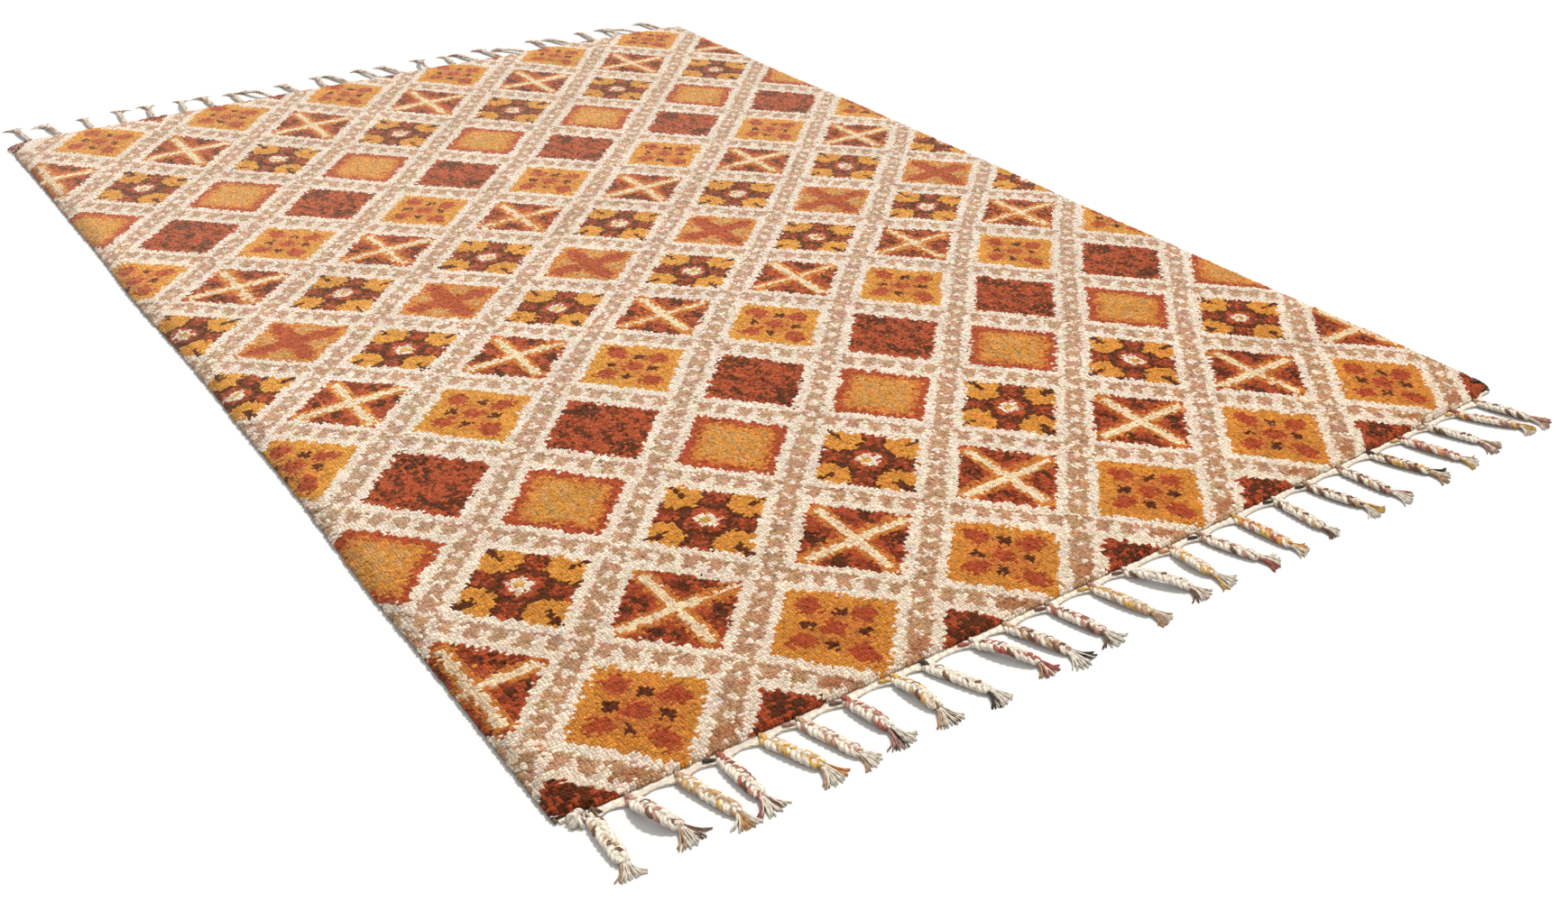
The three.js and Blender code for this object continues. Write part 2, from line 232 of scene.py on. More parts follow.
# A plait's swing from side to side and up and down, and its strands' half sizes. It starts a little inside
# the strip, grows to its full width over a short run, and narrows again before the tassel.
PLAIT = Sizes(
    stations=30, swing=0.0075, rise=0.0021, middle=0.0056, sides=6, half_width=0.0055, half_height=0.0034,
    tucked=0.004, inset=0.001, root_width=0.6, root_run=0.010, tip_loss=0.3, tip_run=0.012, slimmest=0.74,
)

# The twist of the plies in a yarn's pattern: how often round it, and how often to a metre
PLIES = Sizes(around=4, along=110)

# A tassel: loose yarns that fan out from the plait's tip
TASSEL = Sizes(
    yarns=24, fan=36, stray=13, curl=30, half=0.0014, steps=5, sides=4, tip_half=0.0044, lift=0.0040
)

# A plait's root: the collar that crosses the strip, the cream yarns gathered along the strip's edge on both
# sides, and the short coloured stub beside it
COLLAR = Sizes(from_edge=-0.0150, past_edge=0.0045, half=0.0050, height=0.0062, rise=0.0024, slant=0.001)
GATHERS = table("side reach inset half", (
    (-1, 0.042, 0.0012, 0.0030), (-1, 0.036, 0.0058, 0.0028), (1, 0.040, 0.0012, 0.0028),
    (1, 0.030, 0.0056, 0.0026),
))
GATHERED = Sizes(tip_half=0.0011, lift=0.0014, out=0.003, left_room=0.012, right_room=0.024)
STUB = Sizes(apart=0.017, length=0.017, half=0.0031, height=0.0072, inset=0.0035, slant=0.003, room=0.02)

# The loose tufts at the cloth's corners: which corner, how far in from its side and out past the pile, how
# high, which way they point, how long and thick their yarns are, and their yarn and count
CORNER_TUFTS = table("side end inset out height heading length half yarn count", (
    (-1, -1, 0.026, -0.0035, 0.0115, 200, 0.015, 0.0036, "c", 16),
    (-1, -1, 0.048, -0.001, 0.0120, 184, 0.016, 0.0024, "b", 3),
    (1, -1, 0.018, -0.034, 0.0160, 80, 0.020, 0.0026, "k", 9),
    (-1, 1, 0.008, -0.036, 0.0158, -125, 0.030, 0.0026, "m", 14),
))
TUFT = Sizes(fan=72, curl=50, spacing=0.0012, wander=0.003, sag=0.75, steps=5, sides=4)

# The camera of the photograph, 1738 by 1000 pixels, and the stage
CAMERA = Sizes(
    place=(-1.6064, -2.7199, 1.4070), heading=36.421, pitch=31.365, roll=1.163, lens=35.09, sensor=36.0
)
FLOOR = Sizes(size=60, height=-0.0002)
KEY_LIGHT = Sizes(distance=9.0, colour=(1.0, 0.985, 0.96))


# Numbers and colours

def linear(*screen):
    """A scene colour from one given in steps of 255 as a screen shows it."""
    shares = (c / 255 for c in screen)
    return tuple(c / 12.92 if c <= 0.04045 else ((c + 0.055) / 1.055) ** 2.4 for c in shares)


def scatter(i, j):
    """A repeatable number from 0 to 1 for a whole-numbered place."""
    s = np.sin(np.asarray(i) * 12.9898 + np.asarray(j) * 78.233) * 43758.5453
    return s - np.floor(s)


def stray(i, j):
    """The same, from -0.5 to 0.5."""
    return scatter(i, j) - 0.5


def smoothstep(x, start, end):
    """A soft step from 0 at the start to 1 at the end."""
    share = np.clip((x - start) / (end - start), 0, 1)
    return share * share * (3 - 2 * share)


# The settings that a user would change

def setting(name, description, default, **kind):
    return bpy.props.FloatProperty(name=name, description=description, default=default, **kind)


def colour_setting(name, description, *screen):
    return bpy.props.FloatVectorProperty(
        name=name, description=description, default=linear(*screen), subtype="COLOR", size=3, min=0, max=1
    )


class PileSettings(bpy.types.PropertyGroup):
    """Sizes of the nubs, and the colours of the pile's yarns."""

    nub_rise: setting("Nub height", "How far a nub's tip stands above its foot", 0.0017, unit="LENGTH")
    unevenness: setting("Unevenness", "How far the nubs' feet stray up or down", 0.0010, unit="LENGTH")
    wander: setting("Wander", "How far nubs stray sideways", 0.0044, unit="LENGTH")
    yarn_tip: setting("Yarn tip", "Width of the single yarn tips", 0.0030, unit="LENGTH")
    cream: colour_setting("Cream", "The lattice's lines and the small dots", 250, 234, 214)
    sand: colour_setting("Sand", "The lattice's bands", 200, 157, 121)
    orange: colour_setting("Orange", "Crosses' outlines, rings and middles", 208, 128, 56)
    gold: colour_setting("Gold", "The golden fields and lobes", 217, 145, 58)
    rust: colour_setting("Rust", "Spots, borders and crosses", 180, 80, 41)
    umber: colour_setting("Umber", "The darkest marks", 98, 46, 15)
    olive: colour_setting("Olive", "The small crosses in the petals' middle", 212, 162, 82)
    taupe: colour_setting("Taupe", "Greyish mottles", 206, 148, 84)
    blush: colour_setting("Blush", "The petals' rings", 224, 190, 163)
    clay: colour_setting("Clay", "The blots where the bands end", 186, 128, 90)
    straw: colour_setting("Straw", "The arms of the cream crosses", 250, 225, 188)
    russet: colour_setting("Russet", "Shade between rust and umber", 136, 58, 24)


class FringeSettings(bpy.types.PropertyGroup):
    """Sizes of the plaits, and the colours of the fringe's yarns."""

    chevron: setting("Chevron", "Length of one crossing of a plait", 0.0100, unit="LENGTH")
    cream: colour_setting("Cream", "The fringe's own yarn", 224, 212, 194)
    sand: colour_setting("Sand", "Tan accents", 184, 150, 116)
    orange: colour_setting("Orange", "Orange accents", 206, 140, 80)
    gold: colour_setting("Gold", "Golden accents", 206, 162, 88)
    rust: colour_setting("Rust", "Rust accents", 166, 92, 76)
    umber: colour_setting("Umber", "Brown accents", 116, 84, 66)
    mauve: colour_setting("Mauve", "Rosy brown accents", 172, 126, 112)
    dark: colour_setting("Dark", "The darkest accents", 64, 54, 44)


class BindingSettings(bpy.types.PropertyGroup):
    """The side cords, the end strips and the ground weave."""

    wrap: setting("Wrap", "Length of one turn of the overcasting", 0.0056, unit="LENGTH")
    cord: colour_setting("Cord", "The overcasting yarn of the sides", 104, 90, 62)
    strip: colour_setting("Strip", "The end strips' yarn", 228, 216, 198)
    ground: colour_setting("Ground", "The ground weave's yarn", 198, 186, 160)


class StageSettings(bpy.types.PropertyGroup):
    """The floor and the light."""

    floor: colour_setting("Floor", "The pale floor", 216, 215, 214)
    sky: setting("Sky", "Strength of the even light from all round", 0.72, min=0)
    key: setting("Key light", "Strength of the broad light from behind the rug", 3.05, min=0)
    key_width: setting("Key light's width", "How broad the light is", math.radians(8), subtype="ANGLE")
    key_turn: setting("Key light's turn", "Direction from +X towards +Y", math.radians(24), subtype="ANGLE")
    key_lift: setting("Key light's height", "Angle above the floor", math.radians(63), subtype="ANGLE")


# The outline

def half_width(side, y):
    """How far the side at +X (1) or at -X (-1) lies from the rug's middle line."""
    drawn_in = np.where(side > 0, DRAWN_IN.right, DRAWN_IN.left)
    reach = PILE_WIDTH / 2 - WAVE_ROOM - drawn_in * smoothstep(y, *DRAWN_IN.run)
    for wave in SIDE_WAVES:
        reach = reach + wave.height * np.sin(2 * math.pi * y / wave.length + wave.phase * side)
    flare = FLARE.reach * smoothstep(abs(y), *FLARE.run)
    tuck = TUCKED.reach * smoothstep(y, *TUCKED.run)
    return reach + np.where(side > 0, BULGE.right, BULGE.left + flare - tuck)


def half_length(x):
    """How far either end lies from the rug's middle."""
    return PILE_LENGTH / 2 - END_BOW * (x / (PILE_WIDTH / 2)) ** 2


def on_outline(across, along):
    """Places on the rug from shares of its half width and half length."""
    x0 = across * PILE_WIDTH / 2
    y0 = along * PILE_LENGTH / 2
    corner = np.where(along < 0, ROUNDED.near, ROUNDED.far) * smoothstep(abs(across), *ROUNDED.run)
    return across * half_width(np.where(across < 0, -1, 1), y0), along * (half_length(x0) - corner)


def swell(x, y):
    """How far the pile's top stands above or below its mean height."""
    across = np.sin(2 * math.pi * x / SWELL.across + math.pi / 2)
    along = np.sin(2 * math.pi * y / SWELL.along + math.pi / 2)
    return SWELL.height * (across * along + np.sin(2 * math.pi * (x + y) / SWELL.slant))


# The motifs. Each is given its knots' places in the diamond, where u and v run from -1 to 1 from point to
# point, an uneven grain and a turn of its own, and gives back each knot's yarn. The numbers in them are
# places and half sizes in the diamond, and levels of its mottling.

def near(u, v, at, wide, high):
    """The knots in an oval round a place."""
    return ((u - at[0]) / wide) ** 2 + ((v - at[1]) / high) ** 2 < 1


def patches(u, v, turn):
    """Uneven patches that mirror each other across the diamond, drawn out along the rug."""
    across = abs(u)
    coarse = np.sin(19 * across + 1.2) * np.sin(11 * v + 5 * across + turn)
    return coarse + 0.7 * np.sin(33 * across - 8 * v + 2 * turn)


def spotted(u, v, grain, turn):
    """An orange-hearted golden field with five rust spots and four dark crosses."""
    across, along, ragged = abs(u), abs(v), 1 + 0.3 * grain
    yarn = np.where(across + along + 0.25 * grain < 0.42, ORANGE, GOLD)
    for at, wide, high in (((0, 0), 0.115, 0.110), ((0, 0.39), 0.115, 0.14), ((0.35, 0), 0.13, 0.105)):
        yarn[near(across, along, at, wide * ragged, high * ragged)] = RUST
    yarn[abs(across - 0.18) + abs(along - 0.165) < 0.072] = UMBER
    return yarn


def crossed(u, v, grain, turn):
    """A cream cross outlined in orange on rust, with dark mottles in its corners."""
    across, along = abs(u), abs(v)
    yarn = np.full(u.shape, RUST)
    mottling = patches(u, v, turn) + 2 * grain
    yarn[(mottling > 0.1) & (across + along > 0.36)] = RUSSET
    yarn[near(across, along, (0.31, 0.24), 0.13, 0.13) & (mottling > -0.1)] = UMBER
    yarn[np.minimum(across, along) + 0.03 * grain < 0.105] = ORANGE
    yarn[(along < 0.046) & (across < 0.62)] = STRAW
    yarn[(across < 0.046) & (along < 0.57)] = STRAW
    yarn[np.maximum(across, along) > 0.645] = RUST
    return yarn


def petalled(u, v, grain, turn):
    """Four golden lobes ringed and barred in dark brown, and a pale heart in a dark diamond, on russet."""
    across, along = abs(u), abs(v)
    yarn = np.where((grain > -0.1) & (across + along > 0.2), RUSSET, RUST)
    yarn[(across + along > 0.74 - 0.2 * grain) & (abs(across - along) < 0.30)] = UMBER
    yarn[near(across, along, (0, 0.48), 0.262, 0.268)] = UMBER
    yarn[near(across, along, (0.5, 0), 0.268, 0.255)] = UMBER
    yarn[abs(across + along + 0.04 * grain - 0.315) < 0.05] = UMBER
    yarn[near(across, along, (0, 0.48), 0.23, 0.215) | ((across < 0.205) & (along > 0.48))] = GOLD
    yarn[near(across, along, (0.5, 0), 0.215, 0.215) | ((along < 0.195) & (across > 0.5))] = GOLD
    yarn[(across < 0.03) & (along > 0.46)] = UMBER
    yarn[(along < 0.03) & (across > 0.48)] = UMBER
    yarn[np.maximum(across, along) + 0.03 * grain < 0.100] = BLUSH
    yarn[across + along < 0.132] = CREAM
    yarn[np.maximum(across, along) < 0.048] = OLIVE
    return yarn


def ringed(u, v, grain, turn):
    """A rust border, an orange ring, and a middle of gold mottled in fine upright lines."""
    reach = abs(u) + abs(v) + 0.13 * grain
    mottle = np.sin(95 * u + 2.5 * np.sin(9 * v + turn)) * np.sin(17 * v + 3 * u) + 1.3 * grain
    yarn = np.where(mottle > 0.02, TAUPE, GOLD)
    yarn[reach > 0.44] = ORANGE
    yarn[(reach > 0.56) | (np.maximum(abs(u), abs(v)) > 0.52)] = RUST
    yarn[near(u, v, (0, -0.5), 0.05, 0.06)] = ORANGE
    return yarn


def mottled(u, v, grain, turn):
    """Rust with dark patches that mirror each other, drawn out along the rug."""
    mottling = 0.8 * patches(u, v, turn) + 2.4 * grain
    yarn = np.where(mottling > 0.25, RUSSET, RUST)
    yarn[mottling > 0.95] = UMBER
    yarn[near(u, abs(v), (0.04, 0.43), 0.17, 0.12) & (grain > -0.25)] = UMBER
    return yarn


def barred(u, v, grain, turn):
    """An orange field with a rust cross, its arms narrowing at the points, and greyish corners."""
    across, along = abs(u), abs(v)
    yarn = np.where(near(across, along, (0.24, 0.24), 0.125, 0.125) & (grain > -0.25), TAUPE, ORANGE)
    width = 0.115 - 0.115 * smoothstep(np.maximum(across, along), 0.44, 0.62) + 0.035 * grain
    yarn[np.minimum(across, along) < width] = RUST
    return yarn


MOTIFS = {"A": spotted, "B": crossed, "C": petalled, "D": ringed, "E": mottled, "F": barred}


# The lattice

def straightened(x, y):
    """Where each knot would be if the rows of diamonds were straight."""
    y = y + SLANTED_ENDS * x
    share = x / SLANT.at
    slant = SLANT.mean + SLANT.swing * np.sin(math.pi * (y - SLANT.middle) / SLANT.half_length)
    turn = math.pi * (y - SIDE_SHIFT.middle) / SIDE_SHIFT.half_length
    side_shift = SIDE_SHIFT.mean + SIDE_SHIFT.swing * np.cos(turn)
    end_tilt = END_TILT.rise * smoothstep(-y, *END_TILT.run)
    for stretch in RIGHT_STRETCHES:
        along = smoothstep(y, *stretch.start) * (1 - smoothstep(y, *stretch.end))
        side_shift = side_shift - RIGHT_SHIFT.reach * along * smoothstep(x, *RIGHT_SHIFT.run)
    return x - side_shift, y - (slant - end_tilt) * share + BOW * y * share ** 2


def diamond_places(x, y):
    """The row and column of each knot's diamond, and the knot's place (u, v) in it."""
    x, y = straightened(x, y)
    below = np.clip(np.searchsorted(ROW_MIDDLES, y) - 1, 0, len(ROW_MIDDLES) - 2)
    share = (y - ROW_MIDDLES[below]) / (ROW_MIDDLES[below + 1] - ROW_MIDDLES[below])

    def across_from_middle(row):
        place = (x - LATTICE_SHIFT) / LATTICE_PITCH + 0.5 * (row % 2)
        column = np.round(place)
        return 2 * (place - column), column

    u, column = across_from_middle(below)
    upper_u, upper_column = across_from_middle(below + 1)
    is_upper = abs(u) + share > 1
    column = np.where(is_upper, upper_column, column) + 10
    return below + is_upper, column, np.where(is_upper, upper_u, u), np.where(is_upper, share - 1, share)


def knot_yarns(x, y):
    """The yarn at each place, by the knot that it falls on."""
    knot_column, knot_row = np.floor(x / KNOT), np.floor(y / KNOT)
    nub_stray = stray(np.floor(x / GRAIN.nub_size), np.floor(y / GRAIN.nub_size))
    grain = GRAIN.knot * stray(knot_column, knot_row) + GRAIN.nub * nub_stray
    row, column, u, v = diamond_places((knot_column + 0.5) * KNOT, (knot_row + 0.5) * KNOT)
    ragged = u + GRAIN.ragged * stray(knot_row, 7 * row + column)
    turn = GRAIN.turn * scatter(row, column)
    yarn = np.empty(x.shape, int)
    for letter, motif in MOTIFS.items():
        here = np.isin(row, [k for k, other in enumerate(ROW_MOTIFS) if other == letter])
        yarn[here] = motif(ragged[here], v[here], grain[here], turn[here])

    reach = abs(ragged) + abs(v) + GRAIN.lattice * grain
    yarn[reach > LINE_START] = CREAM
    in_band = reach > BAND_START
    yarn[in_band] = SAND
    step = DOTS_A_SIDE * (1 - abs(u) + abs(v)) / 2
    from_dot = abs(step - np.floor(step) - 0.5)
    is_dot = (from_dot < DOT.half_each) & (reach > 1 - DOT.half_reach)
    notched = (u > 0) & (v > 0) | (u < 0) & (v < 0) & (reach > NOTCH.from_reach)
    yarn[in_band & (is_dot | (from_dot < NOTCH.half_each) & notched)] = CREAM
    yarn[(x < PLAIN_CORNER.x) & (y > PLAIN_CORNER.y) & (yarn != SAND)] = CREAM
    from_edge = y + half_length(x)
    at_blot = (from_edge > END_BLOT.start) & (from_edge < END_BLOT.end)
    yarn[at_blot & (reach > 1 - END_BLOT.half_reach)] = CLAY
    return yarn


# Meshes

def add_object(name, data):
    """An object for a mesh, a camera or a lamp, linked to the scene."""
    obj = bpy.data.objects.new(name, data)
    bpy.context.scene.collection.objects.link(obj)
    return obj


def add_mesh(name, points, faces):
    """An object whose mesh has these points and faces."""
    mesh = bpy.data.meshes.new(name)
    mesh.from_pydata(points, [], faces)
    return add_object(name, mesh)


def set_corner_colours(mesh, colours):
    """Stores one colour for each face corner under the name yarn."""
    layer = mesh.color_attributes.new(name="yarn", type="BYTE_COLOR", domain="CORNER")
    full = np.ones((len(colours), 4), np.float32)
    full[:, :3] = np.clip(colours, 0, 1)
    layer.data.foreach_set("color", full.ravel())


def set_uvs(mesh, name, places):
    layer = mesh.uv_layers.new(name=name)
    layer.data.foreach_set("uv", np.asarray(places, np.float32).ravel())


def deselect():
    bpy.ops.object.select_all(action="DESELECT")


def mode(name):
    bpy.ops.object.mode_set(mode=name)


def finish_piece(obj, name, material, node):
    """Slants a piece as the rug lies, names it, and gives it its material and its node."""
    obj.data.transform(Matrix(((1, 0, 0, 0), (SLANTED_ENDS, 1, 0, 0), (0, 0, 1, 0), (0, 0, 0, 1))))
    obj.name = name
    obj.data.name = name
    obj.data.materials.clear()
    obj.data.materials.append(material)
    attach(obj, "root")
    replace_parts(obj, node)


# Materials

class Surface:
    """A material, with short ways to add and join its nodes."""

    def __init__(self, name, roughness, specular, sheen=0.0, sheen_roughness=0.5):
        self.material = bpy.data.materials.new(name)
        self.material.use_nodes = True
        self.tree = self.material.node_tree
        self.shader = self.tree.nodes["Principled BSDF"]
        self.shader.inputs["Roughness"].default_value = roughness
        self.shader.inputs["Specular IOR Level"].default_value = specular
        self.shader.inputs["Sheen Weight"].default_value = sheen
        self.shader.inputs["Sheen Roughness"].default_value = sheen_roughness

    def node(self, kind, inputs=None, **values):
        made = self.tree.nodes.new(kind)
        for key, value in values.items():
            setattr(made, key, value)
        for key, value in (inputs or {}).items():
            if isinstance(value, bpy.types.NodeSocket):
                self.tree.links.new(value, made.inputs[key])
            else:
                made.inputs[key].default_value = value
        return made

    def places(self):
        return self.node("ShaderNodeTexCoord").outputs["Object"]

    def yarn_colour(self):
        """The colour that the mesh stores for each face corner."""
        return self.node("ShaderNodeAttribute", attribute_name="yarn").outputs["Color"]

    def plain(self, colour):
        """One colour all over, as a node's output."""
        made = self.node("ShaderNodeRGB")
        made.outputs[0].default_value = (*colour, 1)
        return made.outputs[0]

    def noise(self, scale, detail=2.0):
        inputs = {"Scale": scale, "Detail": detail, "Vector": self.places()}
        return self.node("ShaderNodeTexNoise", inputs).outputs["Fac"]

    def bands(self, places, way, scale, distortion, detail=2.0):
        inputs = {"Vector": places, "Scale": scale, "Distortion": distortion, "Detail": detail}
        return self.node("ShaderNodeTexWave", inputs, wave_type="BANDS", bands_direction=way).outputs["Fac"]

    def ramp(self, value, low, high, to_low, to_high):
        inputs = {"Value": value, "From Min": low, "From Max": high, "To Min": to_low, "To Max": to_high}
        return self.node("ShaderNodeMapRange", inputs).outputs["Result"]

    def times(self, colour, factor):
        """The colour made lighter or darker by a factor."""
        return self.node("ShaderNodeVectorMath", {0: colour, 1: factor}, operation="MULTIPLY").outputs[0]

    def blotched(self, colour, scale, detail, darkest, lightest, low=0.3, high=0.7):
        """The colour in soft blotches from the darkest factor to the lightest."""
        return self.times(colour, self.ramp(self.noise(scale, detail), low, high, darkest, lightest))

    def bump(self, height, distance, strength, under=None):
        inputs = {"Height": height, "Distance": distance, "Strength": strength}
        if under is not None:
            inputs["Normal"] = under
        return self.node("ShaderNodeBump", inputs).outputs["Normal"]

    def join(self, colour, normal):
        self.tree.links.new(colour, self.shader.inputs["Base Color"])
        self.tree.links.new(normal, self.shader.inputs["Normal"])
        return self.material


SPUN_WOOL = {"roughness": 0.92, "specular": 0.12, "sheen": 0.1, "sheen_roughness": 0.6}


def pile_wool(yarn_tip):
    """Cut wool pile: fine yarn tips, painted lighter at their middles with painted shade between them, with a
    dry sheen.
    """
    wool = Surface("pile_wool", roughness=0.95, specular=0.05, sheen=0.12, sheen_roughness=0.5)
    inputs = {"Vector": wool.places(), "Scale": 1 / yarn_tip}
    tips = wool.node("ShaderNodeTexVoronoi", inputs).outputs["Distance"]
    # Painted light at the middles of the yarn tips, and painted shade at their edges
    lit = wool.times(wool.yarn_colour(), wool.ramp(tips, 0.1, 0.8, 1.12, 0.66))
    tip_bump = wool.bump(wool.ramp(tips, 0.0, 0.8, 1.0, 0.0), 0.0010, 0.5)
    fluff = wool.bump(wool.noise(1400), 0.0004, 0.5, tip_bump)
    return wool.join(wool.blotched(lit, 9, 3, 0.95, 1.05), fluff)


def fringe_yarn():
    """Plied wool yarn with a little fluff, and painted shade in the grooves between its plies."""
    yarn = Surface("fringe_yarn", roughness=0.9, specular=0.15, sheen=0.1, sheen_roughness=0.6)
    ply_places = yarn.node("ShaderNodeUVMap", uv_map="ply").outputs["UV"]
    plies = yarn.bands(ply_places, "DIAGONAL", 0.5, 0.6, 1.0)
    # Painted shade in the grooves between the plies
    shaded = yarn.times(yarn.yarn_colour(), yarn.ramp(plies, 0.0, 0.6, 0.72, 1.04))
    fluff = yarn.bump(yarn.noise(1800), 0.0003, 0.6, yarn.bump(plies, 0.0007, 0.8))
    return yarn.join(yarn.blotched(shaded, 260, 2, 0.92, 1.06), fluff)


def woven_wool(name, colour, weave):
    """A plain weave: threads of one size crossing, with painted shade in the gaps."""
    cloth = Surface(name, **SPUN_WOOL)
    places = cloth.places()
    threads = {k: cloth.bands(places, way, 1 / (weave.thread * 20), 0.4) for k, way in enumerate("XY")}
    crossings = cloth.node("ShaderNodeMath", threads, operation="MULTIPLY").outputs[0]
    # Painted shade in the gaps between the threads
    shaded = cloth.times(cloth.plain(colour), cloth.ramp(crossings, 0.0, 0.5, 1 - weave.contrast, 1.04))
    return cloth.join(cloth.blotched(shaded, 60, 3, 0.92, 1.05), cloth.bump(crossings, 0.0006, 0.7))


def overcast_wool(colour):
    """The overcasting's yarn, unevenly dark, with longer streaks."""
    cord = Surface("overcast_wool", **SPUN_WOOL)
    uneven = cord.blotched(cord.plain(colour), 240, 3, 0.72, 1.2)
    streaked = cord.blotched(uneven, 14, 2, 0.8, 1.15, 0.35, 0.65)
    return cord.join(streaked, cord.bump(cord.noise(900), 0.0006, 0.7))


def floor_paint(colour):
    """A matt pale floor with the faintest unevenness."""
    floor = Surface("studio_floor", roughness=0.85, specular=0.1)
    shaded = floor.blotched(floor.plain(colour), 2, 2, 0.995, 1.0)
    return floor.join(shaded, floor.bump(floor.noise(300), 0.0001, 0.1))


# The pile

def line_places(count, half, rim):
    """The lines between nubs as shares of the rug's half size, from -1 to 1."""
    inner = np.linspace(rim.insets[-1], half, count // 2 + 2 - len(rim.insets))
    shares = 1 - np.concatenate([rim.insets[:-1], inner]) / half
    return np.concatenate([-shares, shares[::-1][1:]])


def rim_heights(rim, rings):
    """The height of the lines between nubs, from the rim to the level pile."""
    return np.array((*rim.heights, PILE_LEVEL))[np.minimum(rings, len(rim.heights))]


def nub_corners(settings):
    """The points between the nubs, at their feet."""
    across = line_places(NUBS_ACROSS, PILE_WIDTH / 2 - WAVE_ROOM, SIDE_RIM)
    along = line_places(NUBS_ALONG, PILE_LENGTH / 2, END_RIM)
    x, y = on_outline(*np.meshgrid(across, along, indexing="ij"))
    i, j = np.indices(x.shape)
    side_ring, end_ring = np.minimum(i, NUBS_ACROSS - i), np.minimum(j, NUBS_ALONG - j)
    is_inner = np.minimum(side_ring, end_ring) > 0
    x = x + is_inner * settings.wander * stray(i, j + 500)
    y = y + is_inner * settings.wander * stray(i + 500, j)
    z = np.minimum(rim_heights(SIDE_RIM, side_ring), rim_heights(END_RIM, end_ring))
    on_side_rim = side_ring < len(SIDE_RIM.heights) - 1
    z = np.where(on_side_rim, np.maximum(z, SIDE_RIM.heights[0]), z)
    for side, drop in ((-1, EDGE_FALL.left), (1, EDGE_FALL.right)):
        z = z - is_inner * drop * (1 - smoothstep(half_width(side, y) - side * x, *EDGE_FALL.run))
    z = z + is_inner * (swell(x, y) + 2 * settings.unevenness * stray(i + 31, j + 57))
    return np.stack([x, y, z], -1)


def nub_tips(corners, settings):
    """The tip of each nub, which stands out from somewhere near the middle of its foot."""
    a, b, c, d = corners[:-1, :-1], corners[1:, :-1], corners[1:, 1:], corners[:-1, 1:]
    outward = np.cross(c - a, d - b)
    outward /= np.linalg.norm(outward, axis=-1, keepdims=True)
    i, j = np.indices(outward.shape[:2])
    across = 0.5 + NUB.stray * stray(i + 70, j)[..., None]
    along = 0.5 + NUB.stray * stray(i, j + 70)[..., None]
    middle = (a * (1 - across) + b * across) * (1 - along) + (d * (1 - across) + c * across) * along
    rise = settings.nub_rise * (NUB.lowest + NUB.spread * scatter(i + 11, j + 23))
    return middle + rise[..., None] * outward


def nub_colours(tips, settings):
    """Each nub's colour, a little uneven from nub to nub, knot to knot and row to row, with painted light and
    shade laid over it.
    """
    i, j = np.indices(tips.shape[:2])
    x = tips[..., 0] + settings.wander * stray(i + 5, j + 3)
    y = tips[..., 1] + settings.wander * stray(i + 3, j + 5)
    yarn = knot_yarns(x, y)
    palette = np.array([getattr(settings, name)[:] for name in YARNS])
    knot_column, knot_row = np.floor(x / KNOT), np.floor(y / KNOT)
    knot = 1 + TONE.knot * stray(knot_column + 17, knot_row + 29)
    nub = 1 + TONE.nub * stray(i + 17, j + 29)
    row_wave = np.sin(0.11 * knot_row + 2 * np.sin(0.043 * knot_row))
    row = 1 + TONE.row * row_wave + TONE.row * stray(0, knot_row)
    m, n = np.floor(x / TONE.patch), np.floor(y / TONE.patch)
    hue = np.stack([stray(m + 2, n), stray(m, n + 2), stray(m + 2, n + 2)], -1)
    hue = 1 + np.where(yarn == SAND, TONE.sand_hue, TONE.hue)[..., None] * hue
    # Painted light: paler and yellower from the near end towards the middle
    light_tints = np.array([LIGHT_TINTS.get(number, WARM_LIGHT_TINT) for number in range(len(YARNS))])
    hue = hue * (1 + smoothstep(y, *LIGHT_TINT_RUN)[..., None] * light_tints[yarn])
    # Painted sheen: a pale veil laid over the pile towards the far end
    painted_sheen = PAINTED_SHEEN.share * smoothstep(y + PAINTED_SHEEN.across * x, *PAINTED_SHEEN.run)[..., None]
    # Painted light: lighter away from the near left corner
    from_corner = np.hypot(x - PAINTED_LIGHT.corner[0], y - PAINTED_LIGHT.corner[1])
    light = PAINTED_LIGHT.near + PAINTED_LIGHT.rise * smoothstep(from_corner, *PAINTED_LIGHT.run)
    # Painted shade: the pile darkens towards its left side
    painted_edge_shade = 1 - smoothstep(x + half_width(-1, y), *PAINTED_EDGE_SHADE.run)
    painted_edge_shade = 1 - PAINTED_EDGE_SHADE.shade * painted_edge_shade * (0.5 + scatter(i + 3, j + 8))
    shade = (knot * nub * row * painted_edge_shade * light)[..., None]
    return palette[yarn] * shade * hue * (1 - painted_sheen) + PAINTED_SHEEN.tint * painted_sheen


